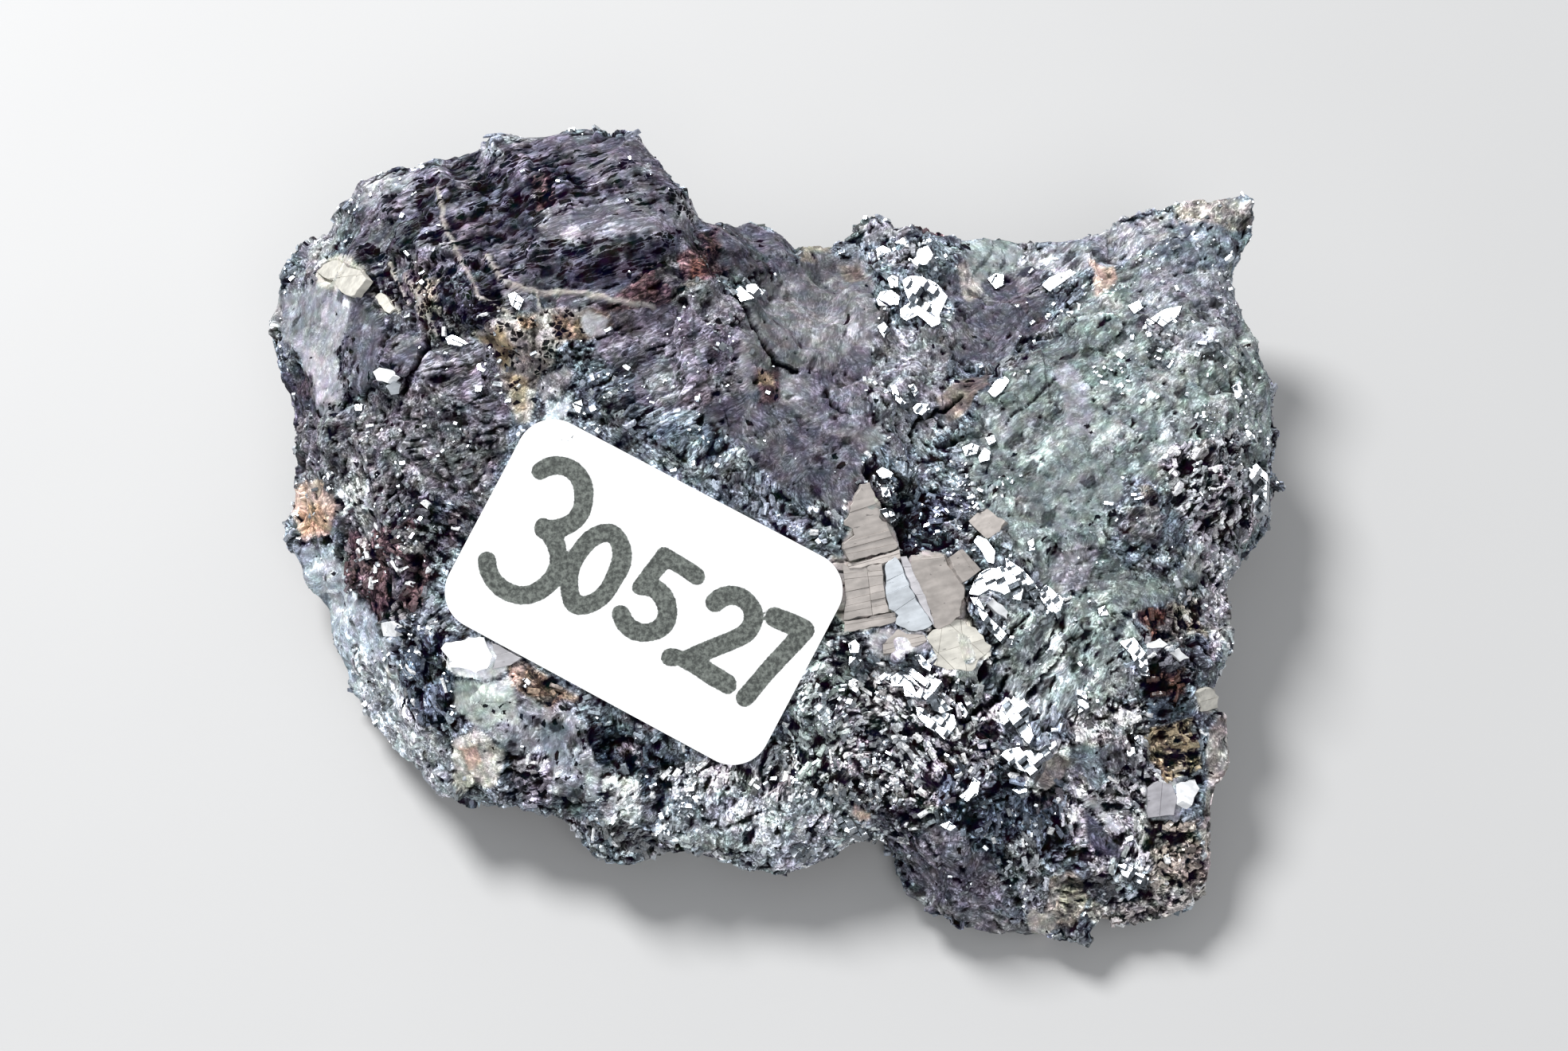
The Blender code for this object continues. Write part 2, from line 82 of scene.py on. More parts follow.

# The label
LABEL_LENGTH, LABEL_WIDTH, LABEL_CORNER = 19.0 * MM, 12.0 * MM, 2.0 * MM
LABEL_THICKNESS = 0.12 * MM
LABEL_MIDDLE = (805.5, 742, 12.0)
LABEL_TURN = math.radians(-27.8)
LABEL_RISE = math.radians(5.0)
LABEL_SEAT = 0.24 * MM  # how far the label's face is lowered onto the stone
LABEL_REACH = 3 * MM  # over and under its face, where it counts as near
LABEL_SPARE = 0.9 * MM  # beyond its edge, until the stone is as rough as elsewhere
LABEL_GRID = 130, 82
LABEL_SAG = ((5 * MM, 0.05 * MM), (1.6 * MM, 0.02 * MM))  # grain of its bend, and how far
LABEL_SHARP = math.radians(50)
INK_HALF_WIDTH, INK_EDGE = 0.50 * MM, 0.2 * MM
INK_WANDER = 1.3 * MM, 0.10  # grain of the strokes' wander, and its reach in mm
PAPER_TONES = (0.93, 0.94, 0.94, 1), (0.97, 0.97, 0.97, 1)
INK_TONES = (0.040, 0.046, 0.042, 1), (0.19, 0.21, 0.19, 1)

# The broken surface: a slow swell, and on it cells of flat crystal faces, with their size, level,
# slope, the depth of the grooves between them, and the seed that they are drawn from
SWELL_SIZE, SWELL_HEIGHT = 6 * MM, 0.14 * MM
BROKEN = (
    (3.1 * MM, 0.12 * MM, 0.11, 0.0, 1),
    (1.7 * MM, 0.09 * MM, 0.17, 0.10 * MM, 2),
)
GROOVE_WIDTH = 0.10 * MM

# Along the fibres: flakes, ribs and the gaps between them, sunk and painted with shade
LAY_SIZE, LONGER = 2.6 * MM, 2.0  # cells that share a direction, and how drawn out grains are
FLAKE_SIZE, FLAKE_LEVEL, FLAKE_SLOPE, FLAKE_GROOVE = 0.46 * MM, 0.035 * MM, 0.16, 0.05 * MM
FLAKE_EDGE = 0.11 * MM, 0.02 * MM  # how far from its border a flake's groove starts, and is full
GAP_SIZE, GAP_DEPTH = 0.33 * MM, 0.13 * MM
GAP_START, GAP_RISE = 0.70, 0.13  # the noise from which a gap opens, and over which it deepens
GAP_CONTRAST, GAP_SMOOTH = 0.68, 0.22  # how contrast brings the start down and smoothness up
FLAKE_SPREAD = 0.578  # how much the flakes' brightness differs
PALE_GLINT_FLAKES, PALE_GLINT_GAIN = 0.05, 2.4  # the share of very light flakes, partly pale grains and partly painted glints, and how light they are
DARK_FLAKES, DARK_GAIN = 0.09, 0.25
TONE_GAIN = 0.60  # how much lighter a contrasty mineral is, to make up for the painted shade in its gaps

SEED = 14

# The minerals' colours on the screen
MINERALS = {
    "black": (46, 47, 56),
    "soot": (66, 66, 76),
    "dark": (86, 86, 94),
    "dusk": (98, 95, 105),
    "slate": (86, 95, 106),
    "maroon": (84, 67, 70),
    "rust": (84, 58, 52),
    "lilac": (116, 113, 123),
    "grey": (119, 118, 122),
    "bluish": (118, 126, 134),
    "green": (130, 139, 138),
    "umber": (118, 108, 104),
    "brown": (132, 114, 98),
    "gold": (148, 134, 110),
    "tan": (152, 144, 134),
    "light": (146, 148, 154),
    "light green": (152, 161, 159),
    "taupe": (172, 165, 160),
    "orange": (208, 172, 146),
    "flesh": (208, 182, 168),
    "ash": (168, 166, 172),
    "pale green": (176, 184, 180),
    "pale blue": (172, 182, 190),
    "pale": (190, 188, 192),
    "icy": (196, 202, 208),
    "chalk": (202, 199, 190),
    "white": (246, 248, 250),
}
GUESTS = ("slate", "maroon", "light", "green", "ash", "grey", "bluish", "dark")
GUEST_SHARE, GUEST_STRENGTH = 0.30, 0.50  # of the crystals in a region, and how far they differ
FLAKE_TINT = 0.07  # how much the flakes' colours differ

# Regions of the stone's face, painted in this order. Each has its outline in view pixels, its
# mineral, and how smooth, how metallic and how contrasty it is, from 0 to 1.
REGIONS = [
    # the block of dark striated mineral, and the lilac band under it
    ([(470, 230), (606, 183), (741, 157), (804, 172), (850, 225), (885, 268), (905, 300),
      (900, 350), (860, 390), (780, 400), (680, 385), (600, 400), (540, 430), (495, 400),
      (465, 340), (440, 290)], "dusk", 0.6, 0.03, 0.62),
    ([(560, 215), (640, 215), (700, 245), (690, 290), (600, 290), (556, 262)],
     "soot", 0.6, 0.03, 0.65),
    ([(505, 262), (548, 250), (556, 300), (500, 316), (480, 290)], "soot", 0.6, 0.03, 0.65),
    ([(560, 232), (600, 224), (626, 234), (612, 258), (570, 268)], "black", 0.4, 0.0, 0.8),
    ([(664, 220), (684, 208), (704, 226), (700, 262), (676, 268)], "maroon", 0.5, 0.0, 0.8),
    ([(690, 206), (736, 204), (744, 240), (704, 256)], "soot", 0.5, 0.0, 0.7),
    ([(700, 170), (760, 165), (800, 190), (790, 225), (730, 222), (700, 200)],
     "dusk", 0.65, 0.03, 0.55),
    ([(660, 275), (700, 258), (780, 250), (860, 246), (884, 272), (860, 292), (780, 296),
      (700, 306)], "lilac", 0.7, 0.03, 0.5),
    ([(840, 232), (870, 246), (886, 270), (868, 282), (846, 262)], "ash", 0.7, 0.05, 0.35),
    ([(700, 306), (780, 296), (850, 292), (842, 320), (790, 362), (716, 362), (690, 340)],
     "soot", 0.7, 0.0, 0.55),
    ([(524, 300), (570, 298), (600, 330), (596, 352), (560, 346), (530, 330)],
     "lilac", 0.4, 0.0, 0.7),
    ([(520, 346), (560, 346), (566, 384), (540, 400), (524, 380)], "tan", 0.3, 0.0, 0.7),
    ([(755, 400), (900, 360), (945, 420), (955, 500), (880, 525), (780, 500), (735, 450)],
     "lilac", 0.35, 0.05, 0.7),
    ([(760, 388), (850, 372), (905, 352), (930, 390), (860, 410), (790, 412)],
     "lilac", 0.4, 0.05, 0.6),
    ([(740, 380), (783, 366), (846, 315), (912, 290), (920, 340), (880, 362), (820, 392)],
     "maroon", 0.3, 0.0, 0.85),
    ([(790, 366), (820, 340), (850, 330), (852, 350), (816, 372)], "maroon", 0.3, 0.0, 0.7),
    ([(866, 324), (892, 316), (896, 346), (872, 350)], "rust", 0.2, 0.0, 0.9),
    ([(556, 352), (600, 338), (628, 346), (640, 380), (604, 404), (566, 398)],
     "soot", 0.3, 0.0, 0.9),
    ([(520, 425), (600, 380), (640, 380), (660, 400), (600, 425), (560, 440)],
     "black", 0.1, 0.0, 1.0),
    # the brown-gold boxwork above the label
    ([(600, 425), (640, 395), (700, 385), (758, 384), (768, 402), (702, 433), (682, 470),
      (676, 522), (655, 530), (640, 500), (628, 458)], "taupe", 0.3, 0.0, 0.5),
    ([(604, 428), (630, 414), (650, 430), (646, 470), (634, 462)], "gold", 0.5, 0.0, 0.25),
    ([(640, 470), (664, 474), (668, 512), (652, 516)], "gold", 0.3, 0.0, 0.5),
    ([(652, 400), (668, 396), (672, 410), (658, 414)], "orange", 0.1, 0.0, 0.7),
    ([(690, 395), (758, 382), (770, 400), (730, 425), (690, 430)], "brown", 0.3, 0.0, 0.6),
    ([(678, 470), (740, 440), (800, 470), (790, 520), (730, 520), (680, 500)],
     "bluish", 0.2, 0.05, 0.9),
    # left of it, a grainy grey slope with a pale smooth facet at its edge
    ([(440, 300), (500, 330), (540, 430), (520, 500), (470, 500), (440, 420)],
     "dark", 0.2, 0.0, 0.8),
    ([(488, 452), (499, 424), (518, 412), (534, 424), (536, 444), (520, 468), (508, 480)],
     "dark", 0.5, 0.0, 0.5),
    ([(346, 372), (370, 360), (410, 352), (452, 376), (446, 440), (432, 500), (428, 524),
      (392, 514), (378, 470), (356, 430)], "light", 0.85, 0.0, 0.25),
    ([(350, 384), (384, 380), (410, 412), (396, 424), (360, 432)], "light", 0.85, 0.0, 0.34),
    ([(388, 366), (420, 366), (438, 384), (426, 424), (404, 406)], "light", 0.9, 0.0, 0.22),
    ([(372, 440), (404, 452), (424, 500), (400, 506), (378, 470)], "ash", 0.85, 0.0, 0.2),
    ([(442, 376), (458, 378), (478, 408), (474, 450), (460, 490), (440, 498), (436, 440)],
     "dark", 0.85, 0.0, 0.4),
    ([(728, 392), (744, 384), (764, 394), (760, 410), (738, 418), (728, 406)],
     "pale", 0.9, 0.0, 0.2),
    ([(680, 484), (706, 462), (722, 466), (716, 482), (694, 502)], "pale", 0.8, 0.1, 0.5),
    ([(684, 512), (712, 492), (722, 496), (712, 512), (694, 520)], "icy", 0.8, 0.1, 0.4),
    ([(350, 366), (392, 300), (430, 262), (440, 290), (400, 330), (375, 372)],
     "light", 0.3, 0.0, 0.6),
    ([(394, 348), (412, 326), (440, 324), (459, 345), (455, 366), (424, 370), (404, 362)],
     "chalk", 0.5, 0.0, 0.2),
    ([(472, 368), (492, 370), (499, 388), (480, 394)], "chalk", 0.5, 0.0, 0.2),
    ([(431, 246), (470, 222), (514, 211), (518, 222), (480, 246), (440, 264)],
     "light", 0.4, 0.0, 0.4),
    ([(600, 186), (620, 180), (624, 190), (606, 197)], "icy", 0.3, 0.0, 0.3),
    ([(340, 470), (392, 470), (410, 540), (380, 600), (350, 560)], "soot", 0.3, 0.0, 0.7),
    ([(420, 440), (440, 432), (442, 470), (424, 476)], "dark", 0.3, 0.0, 0.8),
    ([(396, 516), (420, 520), (424, 540), (400, 544)], "dark", 0.3, 0.0, 0.8),
    ([(524, 440), (590, 428), (626, 440), (640, 500), (646, 532), (580, 508), (524, 494)],
     "lilac", 0.3, 0.05, 0.8),
    # the left flank
    ([(366, 520), (420, 515), (520, 480), (645, 530), (600, 640), (540, 670), (430, 670),
      (380, 610)], "grey", 0.2, 0.08, 0.75),
    ([(500, 600), (590, 640), (560, 700), (520, 720), (480, 660)], "dark", 0.0, 0.05, 1.0),
    ([(421, 605), (462, 608), (474, 640), (442, 665), (421, 650)], "white", 0.2, 0.0, 0.8),
    ([(432, 672), (534, 655), (548, 700), (530, 765), (480, 774), (440, 740)],
     "maroon", 0.1, 0.03, 0.9),
    ([(370, 690), (425, 685), (440, 745), (500, 790), (512, 900), (568, 960), (572, 1004),
      (540, 1004), (472, 925), (418, 810), (382, 745)], "pale blue", 0.65, 0.3, 0.40),
    ([(450, 800), (506, 830), (520, 900), (572, 960), (560, 1004), (500, 950), (452, 880)],
     "icy", 0.35, 0.35, 0.65),
    ([(400, 700), (430, 700), (450, 760), (420, 780)], "icy", 0.7, 0.3, 0.3),
    ([(500, 780), (556, 780), (566, 840), (560, 912), (520, 912), (502, 860)],
     "slate", 0.1, 0.1, 1.0),
    ([(366, 612), (395, 600), (418, 624), (417, 668), (388, 682), (368, 655)],
     "flesh", 0.3, 0.0, 0.5),
    ([(374, 640), (404, 632), (410, 664), (388, 676)], "orange", 0.3, 0.0, 0.5),
    # under the label
    ([(556, 812), (600, 801), (622, 810), (656, 830), (612, 846), (580, 843), (560, 836)],
     "white", 0.7, 0.0, 0.1),
    ([(560, 850), (640, 845), (700, 880), (760, 940), (740, 1000), (690, 990), (640, 940),
      (590, 905)], "light", 0.75, 0.0, 0.5),
    ([(566, 850), (640, 850), (650, 900), (600, 915), (570, 880)], "pale green", 0.8, 0.0, 0.25),
    ([(680, 900), (710, 905), (716, 960), (690, 970)], "bluish", 0.8, 0.0, 0.3),
    ([(628, 832), (668, 834), (700, 862), (730, 880), (700, 892), (650, 872)],
     "brown", 0.1, 0.0, 0.8),
    ([(640, 842), (660, 840), (662, 864), (640, 866)], "flesh", 0.1, 0.0, 0.6),
    ([(560, 935), (596, 914), (636, 940), (624, 980), (580, 990), (560, 970)],
     "chalk", 0.4, 0.0, 0.4),
    ([(572, 940), (598, 934), (604, 960), (582, 966)], "flesh", 0.5, 0.0, 0.3),
    ([(640, 955), (690, 945), (700, 1000), (660, 1006)], "lilac", 0.1, 0.0, 1.0),
    ([(730, 900), (830, 940), (860, 980), (800, 1000), (745, 960)], "slate", 0.1, 0.1, 1.0),
    ([(750, 975), (800, 975), (806, 1020), (790, 1046), (752, 1020)], "white", 0.4, 0.0, 0.7),
    ([(700, 1030), (790, 1030), (860, 1060), (860, 1090), (760, 1066)], "grey", 0.1, 0.1, 1.0),
    ([(820, 960), (1000, 960), (1060, 980), (1000, 1010), (860, 1010)],
     "pale", 0.1, 0.15, 1.0),
    ([(840, 1010), (940, 985), (1000, 1000), (1080, 1005), (1130, 1020), (1110, 1055),
      (1040, 1085), (960, 1100), (870, 1075), (820, 1050)], "icy", 0.15, 0.1, 0.85),
    ([(850, 1030), (910, 1020), (930, 1060), (880, 1068)], "icy", 0.3, 0.0, 0.7),
    ([(940, 1010), (1010, 1010), (1010, 1070), (950, 1080)], "icy", 0.1, 0.1, 0.7),
    ([(1074, 998), (1096, 1000), (1100, 1026), (1082, 1028)], "flesh", 0.2, 0.0, 0.5),
    # between the block and the back edge
    ([(905, 275), (990, 285), (1000, 330), (930, 350), (905, 330)], "dark", 0.6, 0.0, 0.5),
    ([(930, 370), (1010, 320), (1090, 330), (1110, 420), (1120, 540), (1060, 590), (960, 560),
      (930, 470)], "grey", 0.7, 0.0, 0.38),
    ([(955, 390), (1050, 385), (1050, 450), (975, 450)], "grey", 0.75, 0.0, 0.4),
    ([(1000, 470), (1100, 450), (1120, 520), (1040, 540)], "lilac", 0.55, 0.0, 0.5),
    ([(870, 520), (960, 500), (1090, 560), (1060, 650), (960, 600)], "dark", 0.5, 0.05, 0.5),
    ([(800, 530), (880, 540), (940, 590), (880, 590), (820, 560)], "slate", 0.2, 0.05, 0.8),
    ([(1100, 400), (1190, 420), (1200, 540), (1120, 580), (1090, 480)], "light", 0.3, 0.05, 0.65),
    ([(1190, 340), (1320, 330), (1310, 400), (1240, 460), (1190, 450)],
     "dark", 0.45, 0.0, 0.5),
    ([(1210, 330), (1240, 326), (1236, 372), (1212, 380)], "taupe", 0.5, 0.0, 0.4),
    ([(952, 470), (990, 476), (985, 506), (958, 520)], "maroon", 0.3, 0.0, 0.6),
    ([(960, 476), (980, 480), (976, 496), (962, 494)], "brown", 0.4, 0.0, 0.4),
    ([(1176, 506), (1205, 478), (1240, 462), (1252, 478), (1222, 512), (1190, 530)],
     "umber", 0.5, 0.0, 0.4),
    ([(1006, 300), (1046, 302), (1044, 322), (1008, 320)], "tan", 0.3, 0.0, 0.4),
    ([(1050, 334), (1084, 336), (1088, 352), (1060, 354)], "umber", 0.5, 0.0, 0.4),
    ([(1080, 280), (1150, 276), (1150, 300), (1090, 310)], "ash", 0.3, 0.1, 0.6),
    # the grey-green right half
    ([(1200, 560), (1260, 480), (1330, 395), (1420, 325), (1545, 315), (1575, 420), (1600, 520),
      (1590, 640), (1545, 720), (1440, 770), (1350, 770), (1280, 700), (1230, 630)],
     "green", 0.42, 0.12, 0.50),
    ([(1225, 540), (1330, 425), (1364, 436), (1300, 520), (1250, 566)],
     "green", 0.5, 0.0, 0.40),
    ([(1296, 545), (1400, 520), (1400, 560), (1340, 590), (1290, 590)],
     "light green", 0.5, 0.05, 0.4),
    ([(1300, 592), (1400, 575), (1400, 640), (1330, 660), (1290, 640)],
     "green", 0.55, 0.0, 0.3),
    ([(1420, 330), (1540, 330), (1560, 420), (1480, 440), (1420, 400)],
     "light", 0.4, 0.3, 0.5),
    ([(1460, 440), (1560, 420), (1590, 520), (1580, 560), (1480, 560), (1440, 500)],
     "light green", 0.35, 0.35, 0.5),
    ([(1480, 560), (1560, 540), (1590, 640), (1550, 690), (1480, 680), (1440, 620)],
     "ash", 0.0, 0.25, 0.95),
    ([(1400, 600), (1460, 600), (1500, 700), (1440, 740), (1400, 700)],
     "bluish", 0.25, 0.05, 0.8),
    ([(1426, 612), (1446, 608), (1450, 630), (1430, 634)], "tan", 0.2, 0.0, 0.8),
    ([(1410, 640), (1450, 630), (1460, 680), (1420, 690)], "grey", 0.2, 0.0, 0.7),
    ([(1312, 690), (1360, 670), (1386, 700), (1366, 732), (1320, 736)],
     "ash", 0.4, 0.0, 0.45),
    ([(1300, 660), (1330, 670), (1310, 720), (1290, 710)], "green", 0.3, 0.0, 0.5),
    ([(1400, 300), (1480, 262), (1571, 250), (1571, 290), (1540, 340), (1460, 330)],
     "bluish", 0.45, 0.10, 0.5),
    ([(1474, 256), (1530, 248), (1571, 256), (1574, 286), (1548, 282), (1480, 284)],
     "taupe", 0.3, 0.1, 0.6),
    ([(1282, 322), (1330, 306), (1400, 282), (1470, 268), (1470, 300), (1400, 330), (1330, 356)],
     "light", 0.45, 0.05, 0.5),
    ([(1366, 336), (1394, 330), (1400, 352), (1370, 366)], "flesh", 0.3, 0.0, 0.4),
    ([(1210, 300), (1280, 300), (1280, 340), (1220, 345)], "green", 0.6, 0.0, 0.25),
    ([(1322, 462), (1344, 452), (1366, 500), (1362, 545), (1340, 548), (1334, 500)],
     "light", 0.6, 0.0, 0.3),
    # the cleaved plates beside the label
    ([(1089, 608), (1108, 629), (1125, 656), (1138, 690), (1130, 702), (1066, 706), (1059, 684),
      (1073, 662), (1062, 641)], "taupe", 0.95, 0.0, 0.08),
    ([(1050, 700), (1118, 700), (1132, 780), (1060, 790), (1040, 750)],
     "taupe", 0.9, 0.0, 0.12),
    ([(1111, 702), (1128, 696), (1156, 763), (1172, 784), (1163, 797), (1128, 788), (1114, 753)],
     "icy", 0.95, 0.0, 0.08),
    ([(1144, 694), (1189, 697), (1214, 737), (1210, 776), (1173, 793), (1155, 731)],
     "taupe", 0.97, 0.0, 0.06),
    ([(1166, 800), (1209, 777), (1248, 810), (1240, 842), (1200, 842)],
     "chalk", 0.8, 0.0, 0.2),
    ([(1080, 792), (1160, 798), (1166, 820), (1100, 828)], "pale", 0.6, 0.0, 0.3),
    ([(1190, 840), (1240, 830), (1236, 880), (1206, 892), (1186, 870)], "white", 0.3, 0.0, 0.7),
    ([(1170, 660), (1205, 660), (1212, 692), (1180, 694)], "light", 0.2, 0.1, 0.8),
    ([(1224, 742), (1290, 738), (1296, 776), (1262, 802), (1236, 780)],
     "icy", 0.3, 0.35, 0.8),
    ([(1300, 738), (1346, 740), (1340, 790), (1290, 800), (1286, 770)], "icy", 0.2, 0.35, 0.9),
    # the dark hollow above them
    ([(1116, 592), (1195, 620), (1200, 690), (1140, 696), (1124, 650)],
     "slate", 0.05, 0.2, 1.0),
    # the lower right
    ([(1000, 860), (1180, 850), (1260, 880), (1250, 965), (1150, 1035), (1060, 1005),
      (985, 960)], "pale", 0.0, 0.25, 1.0),
    ([(985, 800), (1040, 760), (1080, 800), (1060, 870), (990, 900)],
     "light green", 0.1, 0.1, 0.9),
    ([(990, 900), (1050, 880), (1060, 960), (1000, 990)], "light green", 0.05, 0.1, 0.9),
    ([(1255, 790), (1290, 770), (1400, 740), (1430, 800), (1400, 880), (1310, 900), (1250, 860)],
     "light green", 0.3, 0.08, 0.6),
    ([(1180, 960), (1340, 950), (1350, 1060), (1240, 1120), (1170, 1065)],
     "slate", 0.1, 0.15, 1.0),
    ([(1130, 1050), (1190, 1036), (1250, 1080), (1262, 1140), (1200, 1140), (1140, 1100)],
     "lilac", 0.35, 0.0, 0.7),
    ([(1100, 1010), (1160, 1020), (1170, 1050), (1130, 1060), (1100, 1040)],
     "dark", 0.1, 0.1, 1.0),
    ([(1350, 900), (1440, 880), (1450, 1090), (1380, 1110), (1340, 1060)],
     "pale", 0.0, 0.2, 1.0),
    ([(1285, 935), (1340, 925), (1352, 960), (1310, 1000), (1284, 985)],
     "white", 0.3, 0.0, 0.7),
    ([(1304, 946), (1330, 940), (1348, 956), (1342, 984), (1314, 996), (1300, 976)],
     "taupe", 0.45, 0.0, 0.45),
    ([(1340, 934), (1400, 930), (1416, 960), (1384, 990), (1350, 972)], "bluish", 0.4, 0.0, 0.6),
    ([(1358, 1006), (1372, 998), (1412, 1040), (1404, 1052)], "pale", 0.6, 0.0, 0.3),
    ([(1362, 1020), (1400, 1056), (1408, 1084), (1376, 1080), (1360, 1050)],
     "soot", 0.4, 0.0, 0.6),
    ([(1388, 1088), (1430, 1084), (1440, 1130), (1396, 1140)], "icy", 0.1, 0.1, 1.0),
    ([(1376, 1138), (1440, 1120), (1530, 1090), (1520, 1140), (1440, 1180), (1380, 1176)],
     "taupe", 0.1, 0.05, 0.9),
    ([(1340, 890), (1420, 880), (1410, 930), (1350, 935)], "pale", 0.1, 0.0, 0.9),
    ([(1435, 768), (1480, 770), (1490, 810), (1440, 806)], "rust", 0.1, 0.0, 0.9),
    ([(1462, 762), (1510, 758), (1512, 800), (1484, 800)], "tan", 0.1, 0.0, 0.9),
    ([(1442, 815), (1500, 812), (1500, 840), (1446, 842)], "dark", 0.1, 0.1, 0.9),
    ([(1442, 842), (1496, 840), (1496, 868), (1444, 868)], "rust", 0.1, 0.0, 1.0),
    ([(1436, 876), (1470, 872), (1500, 880), (1494, 906), (1440, 902)], "slate", 0.3, 0.1, 0.7),
    ([(1444, 905), (1492, 900), (1506, 960), (1450, 980)], "gold", 0.0, 0.0, 1.0),
    ([(1456, 916), (1480, 912), (1486, 940), (1460, 944)], "gold", 0.1, 0.0, 0.9),
    ([(1436, 984), (1470, 976), (1484, 1000), (1474, 1026), (1440, 1024)],
     "light", 0.7, 0.0, 0.2),
    ([(1505, 862), (1532, 866), (1530, 898), (1502, 896)], "chalk", 0.5, 0.0, 0.3),
    ([(1514, 905), (1534, 900), (1556, 950), (1550, 1000), (1536, 1120), (1508, 1140),
      (1510, 1000)], "taupe", 0.4, 0.0, 0.6),
    ([(1515, 690), (1552, 690), (1549, 790), (1520, 840), (1512, 790)],
     "pale", 0.2, 0.1, 0.8),
    ([(1310, 1106), (1350, 1096), (1374, 1130), (1350, 1160), (1316, 1148)],
     "tan", 0.3, 0.0, 0.7),
    ([(1296, 1136), (1326, 1138), (1334, 1160), (1312, 1176), (1292, 1166)],
     "chalk", 0.6, 0.0, 0.3),
    ([(1430, 1030), (1500, 1020), (1510, 1110), (1440, 1120)], "tan", 0.1, 0.05, 1.0),
    ([(1130, 1110), (1200, 1130), (1300, 1160), (1300, 1182), (1180, 1150), (1118, 1120)],
     "grey", 0.2, 0.0, 0.6),
]
GROUND, GROUND_HABIT = "bluish", (0.12, 0.08, 0.85)  # the stone between the regions
# The stone where the view can't see, and how large its patches are
HIDDEN = ("dark", "grey", "green", "lilac", "slate", "bluish", "maroon")
HIDDEN_SIZE = 3.4 * MM
CRYSTAL_BEND = 0.7 * MM, 0.22 * MM  # grain of the crystals' bent borders, and how far they bend
ROUND_THE_EDGE = -0.40, -0.10  # a region goes on over the edge until the stone faces away so far
REGION_SOFTNESS = 7.0  # pixels over which a region's edge fades
REGION_WARP = ((3.0 * MM, 9.0), (0.8 * MM, 7.0))  # grain of the edge's wander, and its pixels

